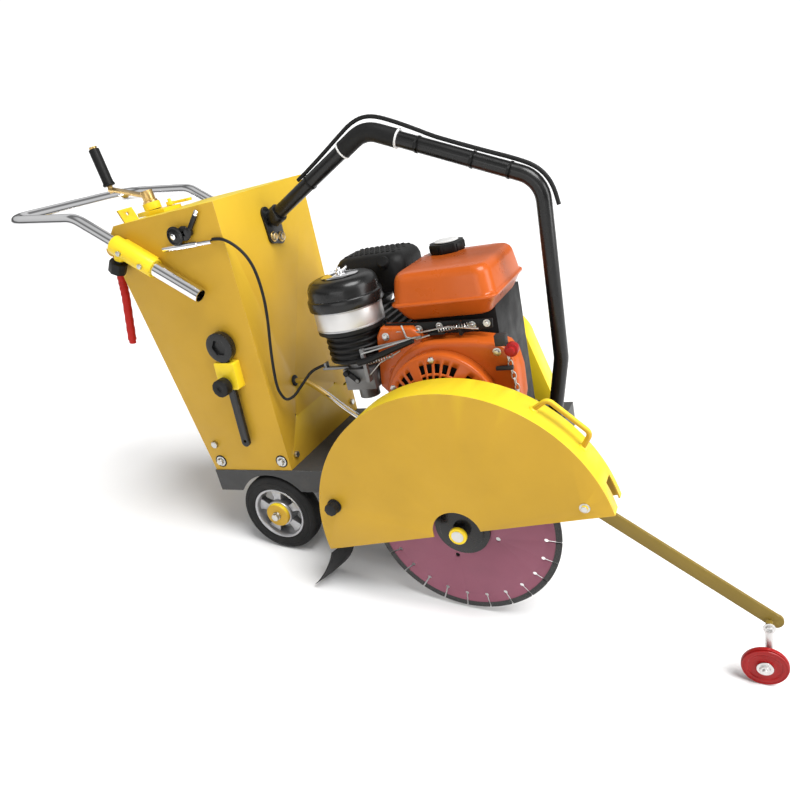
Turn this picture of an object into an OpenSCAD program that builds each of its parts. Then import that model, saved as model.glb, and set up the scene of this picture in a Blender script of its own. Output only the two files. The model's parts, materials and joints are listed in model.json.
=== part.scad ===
// Walk-behind concrete saw: deck on four wheels, horizontal petrol engine, belt-driven
// blade under a lifting guard, crank-set cutting depth and a sliding push handle.
// Chassis frame: +X forward, +Y to the left side, blade plane at y = 0, arbor at x = z = 0.

/* [Blade] */
// blade diameter
blade_d = 400; // [380:5:405]
// steel core thickness
core_t = 3; // [2.5:0.5:3.5]
// number of rim segments
segments = 24; // [18:2:28]
// clamping flange diameter
flange_d = 116; // [100:2:120]

/* [Guard] */
// guard outside radius
guard_r = 313; // [305:1:320]
// guard width across the blade
guard_w = 76; // [70:1:80]
// slope of the guard's open edge against the deck
guard_slope = 10.5; // [8:0.5:13]

/* [Deck] */
// deck height at its sides
deck_h = 56; // [50:1:60]
// deck length behind the arbor
deck_back = 655; // [645:1:665]
// sheet thickness of the deck
deck_t = 4; // [3:0.5:5]

/* [Wheels] */
// rear wheel diameter
rear_d = 200; // [196:1:202]
// front wheel diameter
front_d = 150; // [144:1:152]
// guide wheel diameter
guide_d = 80; // [74:1:84]
// nose-up angle in the raised transport pose
nose_up = 9; // [8.5:0.25:9.5]

/* [Handle] */
// handle tube diameter
tube_d = 32; // [30:1:32]
// handle width between tube centres
handle_w = 388; // [388:1:392]

/* [Lifting bar] */
// lifting bar tube diameter
lift_d = 30; // [26:1:32]

/* [Hidden] */
$fn = 48;
rear_x = -505;
rear_z = -30;
mid_y = 233;
deck_near = 60;
deck_far = 406;
deck_w = deck_far - deck_near;
deck_front = 150;
deck_top = 34 + deck_h;
blade_r = blade_d / 2;
flange_r = flange_d / 2;
guard_near = -45;
guard_far = guard_near + guard_w;
guard_x = 6;
guard_z = -1;
guard_t = 3;
edge_above = 13;
hinge_x = -261;
hinge_z = 68;
arm_x = 240;
arm_z = 72;
guide_x = 543;
guide_z = rear_z + ((guide_d - rear_d) / 2 - (guide_x - rear_x) * sin(nose_up)) / cos(nose_up);
carrier_x = -420;
carrier_z = 22;
carrier_len = 320;
carrier_rise = (carrier_x - rear_x) * sin(nose_up) + (carrier_z - rear_z) * cos(nose_up)
    + (rear_d - front_d) / 2;
carrier_a = nose_up + asin(carrier_rise / carrier_len);
front_x = carrier_x + carrier_len * cos(carrier_a);
front_z = carrier_z - carrier_len * sin(carrier_a);
tail_x = -210.2;
tail_z = 42.2;
shaft_x = -28;
shaft_z = 228;
console_z = deck_top;
handle_y = mid_y - handle_w / 2;
handle_far = mid_y + handle_w / 2;
leg_a = atan2(192, 269);
leg_cut = 236;
bow_x = -985;
bow_z = 737;
screw_x = -693;
screw_y = 190;
screw_z = 694;
screw_a = 6;
bar_y = 238;
lift_pts = [[-412, 238, 628], [-150, 238, 760], [184, 238, 612], [179, 238, 262], [143, 238, 99]];
// centre line of the bore, run past both ends of the tube
lift_bore = [[-430, 238, 618.9], lift_pts[1], lift_pts[2], lift_pts[3], [138.6, 238, 79]];
// where the middle of the outline falls on the ground
front_reach = (guide_x - rear_x) * cos(nose_up) - (guide_z - rear_z) * sin(nose_up) + guide_d / 2;
back_reach = (bow_x - rear_x) * cos(nose_up) - (bow_z - rear_z) * sin(nose_up) - tube_d / 2;
shift_x = -(front_reach + back_reach) / 2;
shift_y = 205.5;
// side of the console outside and inside its sheet, as x-z outlines
console_side = [[-652, 90], [-430, 90], [-422, 696], [-700, 686], [-722, 664], [-722, 575]];
console_hole = [[-648.9, 90], [-433, 90], [-425, 692.9], [-698.8, 683], [-719, 662.8], [-719, 575.4]];
// belt guard outline between its two round ends
belt_top_r = 92;
belt_end_r = 64;
belt_pts = [[62.6, 243.6], [112, 70], [88, -20], [37, -52], [-62, -14], [-119.9, 228]];
pulley_r = 58;
// ends of the guard's lifting handle, as angles round the rim
handle_a0 = 36;
handle_a1 = 56;
// centre line of the mud flap below the rear edge of the guard
flap_top = guard_z + (-299 - guard_x) * tan(guard_slope) + edge_above / cos(guard_slope) - 1.6;
flap_pts = [[-299, flap_top], [-318, -82], [-345, -120], [-372, -139]];
fan_centre = [-10, 250];
grip_at = [93, 84, 218];

module stand() {
    translate([shift_x, -shift_y, rear_d / 2])
        rotate([0, -nose_up, 0])
            translate([-rear_x, 0, -rear_z])
                children();
}

// cylinder along +Y from y0 to y1 about (x, z)
module pin_y(x, z, r, y0, y1, n = 48) {
    translate([x, y0, z])
        rotate([-90, 0, 0])
            cylinder(r = r, h = y1 - y0, $fn = n);
}

// slab standing in the XZ plane, drawn as an x-z outline, from y0 to y1
module slab_y(y0, y1) {
    translate([0, y1, 0])
        rotate([90, 0, 0])
            linear_extrude(height = y1 - y0)
                children();
}

// rectangle with round corners, centred
module round_rect(w, h, r) {
    square([w - 2 * r, h], center = true);
    square([w, h - 2 * r], center = true);
    for (sx = [-1, 1], sy = [-1, 1])
        translate([sx * (w / 2 - r), sy * (h / 2 - r)])
            circle(r = r);
}

// straight bar between two x-z points, as a flat outline
module link(a, b, w) {
    len = norm(b - a);
    translate(a)
        rotate(atan2(b[1] - a[1], b[0] - a[0]))
            translate([0, -0.48 * w])
                square([len, 0.96 * w]);
    for (p = [a, b])
        translate(p)
            circle(r = w / 2);
}

// outline of a strip of width w along a centre line
function side(p, i, d) = let (
        t = unit(p[min(i + 1, len(p) - 1)] - p[max(i - 1, 0)]))
    p[i] + d * [-t[1], t[0]];
function ribbon(p, w) = concat([for (i = [0 : len(p) - 1]) side(p, i, w / 2)],
    [for (i = [len(p) - 1 : -1 : 0]) side(p, i, -w / 2)]);

// sweep of a round section through 3D points, ends closed
function unit(v) = v / norm(v);
function tangent(p, i) = unit(p[min(i + 1, len(p) - 1)] - p[max(i - 1, 0)]);
function frames(p, i = 0, s = [0, 1, 0.02], got = []) = i == len(p) ? got : let (
        t = tangent(p, i),
        n = unit(s - (s * t) * t))
    frames(p, i + 1, n, concat(got, [[n, cross(t, n)]]));
module cord(p, r, n = 8) {
    m = len(p);
    f = frames(p);
    polyhedron(
        points = [for (i = [0 : m - 1], k = [0 : n - 1])
            p[i] + r * (cos(360 * k / n) * f[i][0] + sin(360 * k / n) * f[i][1])],
        faces = concat(
            [[for (k = [0 : n - 1]) k]],
            [[for (k = [0 : n - 1]) m * n - 1 - k]],
            [for (i = [0 : m - 2], k = [0 : n - 1])
                [i * n + (k + 1) % n, i * n + k, (i + 1) * n + k, (i + 1) * n + (k + 1) % n]]));
}
// corner points rounded to a bend radius, steps points a bend
function bend(a, p, c, br, steps) = let (
        u = unit(p - a),
        v = unit(c - p),
        w = unit(v - (u * v) * u),
        turn = acos(u * v),
        start = p - u * br * tan(turn / 2))
    [for (k = [0 : steps]) start + u * br * sin(turn * k / steps)
        + w * br * (1 - cos(turn * k / steps))];
function rounded(p, br, steps = 6) = concat([p[0]],
    [for (i = [1 : 1 : len(p) - 2]) each bend(p[i - 1], p[i], p[i + 1], br, steps)],
    [p[len(p) - 1]]);
// smooth points between hand-set stations
function spline(a, b, c, d, t) = 0.5 * (2 * b + (c - a) * t + (2 * a - 5 * b + 4 * c - d) * t * t
    + (3 * b - a - 3 * c + d) * t * t * t);
function smooth(p, k) = concat([for (i = [0 : len(p) - 2], j = [0 : k - 1])
    spline(p[max(i - 1, 0)], p[i], p[i + 1], p[min(i + 2, len(p) - 1)], j / k)], [p[len(p) - 1]]);

cable_route = [[-446, 57, 626], [-420, 57, 622], [-396, 60, 604], [-378, 62, 578], [-370, 64, 545],
    [-371, 67, 497], [-380, 70, 446], [-395, 72, 384], [-404, 73, 338], [-409, 74, 302],
    [-409, 77, 278], [-402, 83, 260], [-385, 91, 264], [-364, 99, 284], [-334, 108, 312],
    [-304, 118, 322]];
hose_route = [[-328, 238, 692.5], [-290, 238, 712.5], [-248, 238, 736], [-210, 238, 758],
    [-179, 238, 774.5], [-150, 238, 781.5], [-121, 238, 777.5], [-83, 238, 761], [-42, 238, 739.5],
    [-2, 238, 718], [78, 238, 682], [138, 238, 656], [173, 238, 637], [193, 238, 616], [204, 238, 592],
    [210, 238, 562]];
pipe_route = [[-440, 166, 272], [-404, 163, 271], [-380, 156, 266], [-330, 132, 250], [-270, 102, 226],
    [-220, 74, 212], [-196, 56, 196], [-188, 49, 168], [-186, 47, 120], [-186, 47, 89]];

module deck() color("dimgray") stand() {
    difference() {
        translate([-deck_back, deck_near, 34])
            cube([deck_back + deck_front, deck_w, deck_h]);
        translate([-deck_back + deck_t, deck_near + deck_t, 33])
            cube([deck_back + deck_front - 2 * deck_t, deck_w - 2 * deck_t, deck_h - deck_t + 1]);
        pin_y(rear_x, rear_z, rear_d / 2 + 7, deck_near - 1, deck_far + 1, 96);
        translate([screw_x + 62, screw_y, deck_top - 20])
            cylinder(r = 24, h = 40);
        for (y = [120, 330])
            translate([-20, y, deck_top - 20])
                cylinder(r = 5.5, h = 40);
    }
    // axle hangers
    for (y = [118, 342])
        difference() {
            slab_y(y, y + 6)
                polygon([[-545, deck_top - deck_t], [-465, deck_top - deck_t], [-485, -48], [-525, -48]]);
            pin_y(rear_x, rear_z, 10, y - 1, y + 7);
        }
    // carrier pivot ears
    for (y = [150, 310])
        difference() {
            slab_y(y, y + 6)
                polygon([[-450, deck_top - deck_t], [-390, deck_top - deck_t],
                    [carrier_x + 16, 6], [carrier_x - 16, 6]]);
            pin_y(carrier_x, carrier_z, 10, y - 1, y + 7);
        }
    // stub the guard turns on
    pin_y(hinge_x, hinge_z, 7.9, -46, deck_near + 4);
    pin_y(hinge_x, hinge_z, 5, -60, -45);
    // pipe stand
    translate([-194, 39, 74])
        cube([16, 22, 14]);
    // arm carrying the pin of the guide arm
    difference() {
        translate([60, 48, 44])
            cube([206, 13, 44]);
        translate([196, 40, 44])
            rotate([0, 25, 0])
                translate([0, 0, -40])
                    cube([140, 30, 40]);
    }
    pin_y(arm_x, arm_z, 6, -20, 50);
    pin_y(arm_x, arm_z, 10, -24, -18);
}

module rear_axle() color("silver") stand() {
    pin_y(rear_x, rear_z, 10, 47, 419);
    // pivot shaft of the front axle carrier
    pin_y(carrier_x, carrier_z, 10, 148, 318);
}

module console() color("goldenrod") stand() {
    difference() {
        slab_y(62, 405)
            polygon(console_side);
        slab_y(65, 402)
            polygon(console_hole);
        translate([-660, 64, 89])
            cube([240, 339, 1.2]);
        // screw opening in the top
        translate([screw_x, screw_y, screw_z - 20])
            cylinder(r = 16, h = 60);
        // pipe grommet and front panel holes
        for (p = [[166, 272, 9], [136, 197, 3.5], [326, 197, 3.5]])
            translate([-440, p[0], p[1]])
                rotate([0, 90, 0])
                    cylinder(r = p[2], h = 30);
        translate([-440, 366, 172])
            cube([30, 20, 7]);
        pin_y(-590, 150, 4, 400, 440);
    }
    // folded ear
    difference() {
        translate([-700, 96, 684])
            rotate([0, -20, 0])
                cube([4, 44, 30]);
        translate([-730, 118, 702])
            rotate([0, 90, 0])
                cylinder(r = 4, h = 60);
    }
    // lugs carrying the hand lever
    for (y = [76, 94])
        difference() {
            slab_y(y, y + 4)
                link([-712, 646], [-746, 636], 26);
            slab_y(y - 1, y + 5)
                polygon([[-721, 500], [-721, 700], [-600, 700], [-600, 500]]);
            pin_y(-746, 636, 5.05, y - 1, y + 5);
        }
    translate([-729.5, 76, 628])
        cube([8.5, 22, 22]);
    // water inlet spigot
    difference() {
        pin_y(-590, 150, 6.35, 404, 436);
        pin_y(-590, 150, 4, 400, 440);
    }
}

// frame on a handle leg: z along the tube, s from its open end
module on_leg(y, s) {
    translate([-506 - s * cos(leg_a), y, 520 + s * sin(leg_a)])
        rotate([0, leg_a - 90, 0])
            children();
}

module handle_sleeves() color("gold") stand() {
    for (side = [0, 1]) {
        y = side == 0 ? handle_y : handle_far;
        out = side == 0 ? 1 : -1;
        difference() {
            union() {
                on_leg(y, 118)
                    cylinder(r = 21, h = 108);
                on_leg(y, 210)
                    rotate([0, -90, 0])
                        translate([0, 0, 14])
                            cylinder(r = 11, h = 14);
                on_leg(out == 1 ? 53 : 405.1, 130)
                    translate([-14, 0, 0])
                        cube([28, 8.9, 84]);
            }
            on_leg(y, 100)
                cylinder(r = tube_d / 2 + 0.4, h = 150);
            on_leg(y, 210)
                rotate([0, -90, 0])
                    cylinder(r = 5.4, h = 40);
        }
    }
}

module crank_bearing() color("gold") stand() {
    difference() {
        union() {
            translate([screw_x, screw_y, screw_z])
                rotate([0, -screw_a, 0])
                    translate([0, 0, 2])
                        cylinder(r = 20, h = 16);
            translate([screw_x - 24, screw_y - 30, 686.6])
                cube([80, 60, 9.4]);
        }
        slab_y(100, 300)
            polygon([[-760, 600], [-760, 686.6], [-700, 686.1], [-422, 696.1], [-422, 600]]);
        translate([screw_x, screw_y, screw_z])
            rotate([0, -screw_a, 0])
                translate([0, 0, -40])
                    cylinder(r = 10.3, h = 90);
        translate([-660, 212, 660])
            cylinder(r = 4.1, h = 60);
    }
}

module crank() color("silver") stand() {
    translate([screw_x, screw_y, screw_z])
        rotate([0, -screw_a, 0]) {
            translate([0, 0, -330])
                cylinder(r = 8, h = 345);
            cylinder(r = 10, h = 22);
            translate([0, 0, 18.4])
                cylinder(r = 14, h = 26);
            rotate([0, 0, 176])
                translate([0, 0, 32])
                    rotate([0, -22, 0])
                        translate([10, -9, -3])
                            cube([104, 18, 6]);
            rotate([0, 0, 176])
                translate([105, 0, 66])
                    cylinder(r = 6, h = 100);
            rotate([0, 0, 176])
                translate([105, 0, 166])
                    cylinder(r = 9, h = 4);
        }
}

module crank_grip() color("black") stand() {
    translate([screw_x, screw_y, screw_z])
        rotate([0, -screw_a, 0])
            rotate([0, 0, 176])
                translate([105, 0, 82])
                    difference() {
                        union() {
                            cylinder(r = 12, h = 83);
                            cylinder(r = 14, h = 6);
                        }
                        translate([0, 0, -1])
                            cylinder(r = 6.3, h = 90);
                    }
}

module depth_nut() color("slategray") stand() {
    translate([screw_x, screw_y, screw_z])
        rotate([0, -screw_a, 0]) {
            difference() {
                union() {
                    translate([0, 0, -616])
                        cylinder(r = 14, h = 406);
                    translate([0, 0, -240])
                        cylinder(r = 20, h = 30);
                    translate([0, 0, -640])
                        cylinder(r = 11, h = 30);
                }
                translate([0, 0, -560])
                    cylinder(r = 8.3, h = 400);
            }
            translate([0, -29, -634])
                rotate([-90, 0, 0])
                    cylinder(r = 8, h = 58);
        }
}

module crank_lock() color("gold") stand() {
    translate([-660, 212, 697.5]) {
        translate([0, 0, -7])
            cylinder(r = 4, h = 21);
        difference() {
            translate([0, 0, -0.5])
                rotate([0, 0, 20])
                    union() {
                        cylinder(r = 9, h = 8);
                        translate([0, -5, 1])
                            cube([46, 10, 6]);
                        translate([44, 0, 1])
                            cylinder(r = 8, h = 6);
                    }
            rotate([0, 0, 20])
                translate([46, -2.5, 0])
                    cube([20, 5, 20]);
        }
    }
}

module throttle_mount() color("silver") stand() {
    // clevis block on the side panel
    pin_y(-531, 645, 13, 58, 61.9);
    translate([-575, 53, 622])
        rotate([0, 90, 0])
            cylinder(r = 6, h = 92);
    translate([-560, 55, 616])
        cube([12, 7, 12]);
    translate([-510, 55, 616])
        cube([12, 7, 12]);
    // cable ferrule
    translate([-483, 53, 622])
        rotate([0, 90, 0])
            cylinder(r = 4.5, h = 36);
}

module throttle_lever() color("black") stand() {
    difference() {
        union() {
            pin_y(-531, 645, 14, 49, 57.7);
            pin_y(-531, 645, 6, 44, 50);
            pin_y(-496, 648, 9, 48.6, 56.4);
            slab_y(50, 56)
                link([-531, 645], [-496, 648], 11);
            slab_y(50, 56)
                link([-496, 648], [-462, 682], 9);
        }
        pin_y(-531, 645, 2.1, 40, 62);
    }
}

module throttle_cable() color("black") stand() {
    cord(smooth(cable_route, 4), 3.2, 8);
}

module lift_hose() color("black") stand() {
    cord(smooth(hose_route, 4), 4, 8);
}

module water_pipe() color("silver") stand() {
    cord(smooth(pipe_route, 5), 6.5, 12);
}

module wrench_holder() color("goldenrod") stand() {
    difference() {
        translate([-508, 51, 338])
            rotate([90, 4, 0])
                translate([0, 0, -10.9])
                    linear_extrude(height = 24)
                        round_rect(52, 62, 4);
        translate([-508, 40.5, 338])
            rotate([0, 4, 0])
                translate([-10.6, 1.1, -60])
                    cube([21.2, 9.8, 120]);
        pin_y(-512, 320, 5.4, 30, 46);
    }
}

module wrench() color("#222222") stand() {
    difference() {
        translate([-508, 0, 338])
            rotate([0, 4, 0])
                difference() {
                    union() {
                        slab_y(42.2, 50.8) {
                            translate([-10, -166])
                                square([20, 200]);
                            translate([0, -166])
                                circle(r = 10);
                        }
                        slab_y(38, 54)
                            translate([0, 66])
                                circle(r = 33);
                    }
                    pin_y(0, 66, 19, 36, 46, 6);
                    pin_y(0, -162, 4, 40, 56);
                }
    }
}

module wrench_knob() color("black") stand() {
    difference() {
        union() {
            pin_y(-512, 320, 5, 28, 41.9);
            pin_y(-512, 320, 20, 10, 30, 12);
        }
        pin_y(-512, 320, 6, 8, 12);
    }
}

module hand_lever() color("silver") stand() {
    pin_y(-746, 636, 5, 72, 102);
    pin_y(-746, 636, 12, 80.3, 93.7);
    slab_y(84, 90)
        link([-746, 636], [-752, 606], 14);
    cord(rounded([[-751, 87, 598], [-764, 87, 530], [-796, 87, 420]], 160, 6), 8, 16);
}
module lift_bar() color("black") stand() {
    difference() {
        cord(rounded(lift_pts, 60, 8), lift_d / 2, 20);
        cord(rounded(lift_bore, 60, 8), lift_d / 2 - 3, 16);
    }
}

module lift_sleeve() color("#1a1a1a") stand() {
    // rubber sleeve over the crown
    difference() {
        cord(rounded([[-207, bar_y, 731.3], lift_pts[1], [-84, bar_y, 730.8]], 60, 8), lift_d / 2 + 3, 20);
        cord(rounded([[-260, bar_y, 704.6], lift_pts[1], [-30, bar_y, 706.8]], 60, 8), lift_d / 2 + 0.2, 20);
    }
}

// outline of the bar's plate on the console, as z-y
module bracket_plate() {
    link([590, 226], [584, 254], 30);
    link([590, 226], [640, 222], 30);
    link([584, 254], [628, 256], 30);
    translate([584, 224])
        square([50, 34]);
}
module lift_brackets() color("#202020") stand() {
    difference() {
        union() {
            translate([-418, 0, 0])
                rotate([0, -90, 0])
                    linear_extrude(height = 6)
                        bracket_plate();
            translate([-416, bar_y, 626.2])
                rotate([0, 90 - 26.7, 0])
                    cylinder(r = lift_d / 2 + 5, h = 24);
        }
        translate([-416, bar_y, 626.2])
            rotate([0, 90 - 26.7, 0])
                translate([0, 0, 3])
                    cylinder(r = lift_d / 2 + 0.3, h = 40);
        slab_y(180, 300)
            polygon([[-480, 500], [-424.5, 500], [-421.9, 700], [-480, 700]]);
    }
    // foot on the deck
    difference() {
        union() {
            translate([110, bar_y - 40, 90])
                cube([40, 80, 6]);
            translate([138, bar_y, 93])
                rotate([0, 12.4, 0])
                    cylinder(r = lift_d / 2 + 5, h = 28);
        }
        translate([143, bar_y, 99])
            rotate([0, 12.45, 0])
                translate([0, 0, -0.8])
                    cylinder(r = lift_d / 2 + 0.3, h = 60);
        translate([80, 180, 60])
            cube([100, 120, 30]);
    }
}

module hex_at(x, y, z, r, h) {
    // bolt head on a face looking along -Y
    pin_y(x, z, r, y - h, y, 6);
}
module fasteners() color("silver") stand() {
    for (p = [[-628, 114], [-450, 114], [-628, 160]])
        hex_at(p[0], 61.9, p[1], 9, 7);
    // front panel bolts and lift bracket bolts
    for (p = [[-429.3, 92, 117, 8], [-429.3, 381, 121, 8], [-418, 226, 590, 9], [-418, 254, 584, 9]])
        translate([p[0], p[1], p[2]])
            rotate([0, 90, 0])
                cylinder(r = p[3], h = 7, $fn = 6);
    // engine and bearing bolts through the deck
    for (x = [-110, 70], y = [130, 364])
        translate([x, y, 96.1 + 12])
            cylinder(r = 9, h = 8, $fn = 6);
    for (y = [bar_y - 33, bar_y + 33])
        translate([120, y, 96.1])
            cylinder(r = 6, h = 5, $fn = 6);
    // sleeve bolts
    for (s = [140, 196])
        on_leg(handle_y, s)
            rotate([90, 0, 0])
                translate([0, 0, 21.3])
                    cylinder(r = 6, h = 5, $fn = 6);
    // recoil cover bolts
    for (a = [90, 150, 30, 210, 330, 270])
        pin_y(shaft_x + 108 * cos(a), shaft_z + 108 * sin(a), 7, 64, 69.9, 6);
    // rear wheel nuts
    pin_y(rear_x, rear_z, 9.5, 40, 47, 6);
    pin_y(rear_x, rear_z, 9.5, 419, 426, 6);
    // belt guard bolts
    for (p = [[64, 151], [-70, 120], [-70, 270]])
        pin_y(p[0], p[1], 9, 470.1, 477, 6);
}

module crankcase() color("#303030") stand() {
    difference() {
        union() {
            translate([-130, 150, 96])
                cube([220, 210, 12]);
            translate([-118, 170, 106])
                cube([196, 180, 200]);
            pin_y(shaft_x, shaft_z, 92, 150.1, 352, 64);
            translate([-100, 172, 290])
                cube([180, 172, 112]);
            pin_y(shaft_x, shaft_z, 44, 350, 362);
        }
        translate([-108, 180, 116])
            cube([176, 160, 180]);
        translate([-90, 182, 280])
            cube([160, 152, 112]);
        pin_y(shaft_x, shaft_z, 13.4, 140, 380);
        translate([60, 210, 132])
            rotate([0, 90, 0])
                cylinder(r = 9, h = 40);
    }
    for (x = [-130, 50], y = [114, 338])
        translate([x, y, 90.1])
            cube([40, 40, 18]);
}

module cylinder_block() color("#3a3a3a") stand() {
    // finned cylinder leaning to the rear
    difference() {
        translate([-100, 250, 290])
            rotate([0, -62, 0]) {
                translate([-44, -60, 0])
                    cube([88, 120, 150]);
                for (k = [0 : 8])
                    translate([-58, -76, 22 + k * 14])
                        cube([116, 152, 5]);
                translate([-62, -66, 150])
                    cube([124, 132, 26]);
            }
        // face bolted to the crankcase
        translate([-118.1, 140, 180])
            cube([200, 240, 126.1]);
        translate([-100.1, 140, 300])
            cube([200, 240, 140]);
        // room for the air cleaner
        translate([-225, 140, 300])
            cylinder(r = 77, h = 160);
    }
}

module shroud_shape() {
    translate([shaft_x, shaft_z])
        circle(r = 124, $fn = 72);
    polygon([[-150, 250], [-176, 268], [-150, 400], [-60, 404], [110, 404], [132, 372],
        [128, 262], [90, 200], [60, 108], [-118, 108]]);
}
module fan_shroud() color("#c4541f") stand() {
    difference() {
        slab_y(96, 150)
            shroud_shape();
        slab_y(100, 151)
            translate(fan_centre)
                scale(0.965)
                    translate(-fan_centre)
                        shroud_shape();
        pin_y(shaft_x, shaft_z, 106, 90, 105, 64);
        // corners round the engine feet
        for (x = [-132, 48])
            translate([x, 112, 80])
                cube([44, 40, 38]);
    }
}

module slot_group(a0, n, r0, r1, step) {
    for (k = [0 : n - 1])
        rotate(a0 + (k - (n - 1) / 2) * step)
            translate([r0, -2.2])
                square([r1 - r0, 4.4]);
}
module recoil_cover() color("#c4541f") stand() {
    difference() {
        union() {
            pin_y(shaft_x, shaft_z, 118, 70, 95.9, 96);
            pin_y(shaft_x, shaft_z, 92, 56, 71, 96);
            pin_y(shaft_x, shaft_z, 60, 46, 57, 96);
        }
        pin_y(shaft_x, shaft_z, 104, 74, 97, 96);
        pin_y(shaft_x, shaft_z, 84, 60, 75, 96);
        pin_y(shaft_x, shaft_z, 52, 50, 61, 96);
        slab_y(40, 64)
            translate([shaft_x, shaft_z])
                for (a = [30, 90, 150, 210, 270, 330])
                    slot_group(a, 5, 62, 82, 9);
        slab_y(66, 78)
            translate([shaft_x, shaft_z])
                for (a = [60, 120, 180, 240, 300, 0])
                    slot_group(a, 6, 94, 102, 6);
        pin_y(-126, 300, 9, 60, 80);
    }
}

module fuel_tank() color("#c4541f") stand() {
    difference() {
        union() {
            translate([-13, 234, 405])
                linear_extrude(height = 26)
                    round_rect(214, 218, 26);
            translate([-13, 234, 430])
                linear_extrude(height = 6)
                    round_rect(224, 228, 28);
            translate([-13, 234, 435])
                linear_extrude(height = 46)
                    round_rect(216, 220, 30);
            translate([-13, 234, 480])
                linear_extrude(height = 12)
                    round_rect(196, 200, 26);
            translate([-52, 310, 490])
                cylinder(r = 24, h = 10);
        }
        translate([-13, 234, 407.5])
            linear_extrude(height = 71)
                round_rect(209, 213, 24);
        translate([-13, 234, 478])
            linear_extrude(height = 11)
                round_rect(189, 193, 23);
        translate([-52, 310, 470])
            cylinder(r = 21, h = 60);
    }
}

module fuel_cap() color("black") stand() {
    translate([-52, 310, 492.6]) {
        difference() {
            cylinder(r = 39, h = 19, $fn = 8);
            translate([0, 0, -1])
                cylinder(r = 24.5, h = 9);
        }
        translate([0, 0, 19])
            cylinder(r = 26, h = 3);
    }
    translate([-52, 310, 478])
        cylinder(r = 20.6, h = 24);
}

module muffler() color("#1c1c1c") stand() {
    difference() {
        translate([-220, 310, 430])
            linear_extrude(height = 86)
                round_rect(170, 130, 16);
        translate([-220, 310, 433])
            linear_extrude(height = 76)
                round_rect(164, 124, 13);
        for (i = [0 : 6])
            translate([-290 + i * 22, 256, 513])
                cube([8, 108, 5]);
        pin_y(-225, 475, 10, 360, 400);
    }
    translate([-170, 280, 405])
        cylinder(r = 14, h = 28);
    // tail pipe
    difference() {
        pin_y(-225, 475, 13, 374, 398);
        pin_y(-225, 475, 10, 360, 400);
    }
}

module air_cleaner_base() color("#1a1a1a") stand() {
    translate([-225, 140, 330]) {
        cylinder(r = 54, h = 70);
        for (k = [0 : 4])
            translate([0, 0, 3 + k * 13])
                cylinder(r = 59, h = 7);
        translate([0, 0, 66])
            cylinder(r = 72, h = 8);
    }
}
module air_cleaner_band() color("silver") stand() {
    translate([-225, 140, 404.1])
        difference() {
            cylinder(r = 72, h = 42);
            translate([0, 0, -1])
                cylinder(r = 68, h = 44);
        }
}
module air_cleaner_cover() color("black") stand() {
    translate([-225, 140, 446.3]) {
        cylinder(r = 77, h = 22);
        translate([0, 0, 22])
            cylinder(r = 74, h = 28);
        translate([0, 0, 50])
            cylinder(r = 64, h = 10);
        translate([0, 0, 60])
            cylinder(r = 34, h = 3);
        translate([0, 0, 63])
            cylinder(r = 5, h = 12);
        translate([-16, -3, 64])
            cube([32, 6, 8]);
    }
}

module carburettor() color("slategray") stand() {
    translate([-250, 100, 268])
        cube([70, 60, 46]);
    translate([-225, 130, 312])
        cylinder(r = 20, h = 17.9);
    translate([-186, 132, 285])
        rotate([0, 90, 0])
            cylinder(r = 15, h = 10);
    translate([-215, 130, 244])
        cylinder(r = 22, h = 26);
    // governor rod to the speed control
    translate([-184, 92, 358])
        rotate([0, 82, 0])
            cylinder(r = 2.5, h = 134);
    translate([-190, 84, 290])
        cube([8, 8, 72]);
    translate([-190, 84, 290])
        cube([8, 18, 12]);
    // cable bracket
    translate([-306, 112, 312])
        cube([64, 12, 5]);
    translate([-300, 112, 314])
        cube([5, 12, 14]);
    translate([-250, 112, 296])
        cube([8, 12, 18]);
    pin_y(-215, 292, 4, 88, 101);
}

module engine_shaft() color("silver") stand() {
    pin_y(shaft_x, shaft_z, 13, 112, 462);
    // flywheel fan
    pin_y(shaft_x, shaft_z, 92, 112, 128, 64);
    grooved_pulley(shaft_x, shaft_z);
}

// pulley with a groove for each of the three belts
module grooved_pulley(x, z) {
    difference() {
        pin_y(x, z, pulley_r, 418, 456, 64);
        for (k = [0 : 2])
            translate([x, 426 + k * 11, z])
                rotate([-90, 0, 0])
                    rotate_extrude()
                        polygon([[pulley_r - 8.6, -2.6], [pulley_r + 1, -4.4],
                            [pulley_r + 1, 4.4], [pulley_r - 8.6, 2.6]]);
    }
}

module drive_belts() color("black") stand() {
    for (k = [0 : 2])
        slab_y(424 + k * 11, 428 + k * 11)
            difference() {
                belt_loop(pulley_r + 0.4);
                belt_loop(pulley_r - 7.4);
            }
}
module belt_loop(r) {
    d = norm([shaft_x, shaft_z]);
    a = atan2(shaft_z, shaft_x);
    rotate(a) {
        circle(r = r, $fn = 64);
        translate([d, 0])
            circle(r = r, $fn = 64);
        translate([0, -0.995 * r])
            square([d, 1.99 * r]);
    }
}

module belt_guard() color("gold") stand() {
    difference() {
        slab_y(411, 470)
            guard_outline(0);
        slab_y(414, 467)
            guard_outline(3);
        slab_y(400, 415)
            belt_loop(40);
    }
    for (x = [-80, 60])
        translate([x, 406.1, 40])
            cube([20, 5.4, 40]);
}
// outline of the belt guard, moved inwards by t
module guard_outline(t) {
    translate([shaft_x, shaft_z])
        circle(r = belt_top_r - t, $fn = 96);
    circle(r = belt_end_r - t, $fn = 96);
    polygon([for (p = belt_pts) p + t * 1.3 * unit([-8, 100] - p)]);
}

module bearing_housings() color("#404040") stand() {
    difference() {
        union() {
            for (y = [64.1, 371.9]) {
                pin_y(0, 0, 40, y, y + 30);
                translate([-52, y, 14])
                    cube([104, 30, 71.9]);
            }
            pin_y(0, 0, 30, 34, 64.2);
        }
        pin_y(0, 0, 17.6, 30, 410);
    }
}

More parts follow.
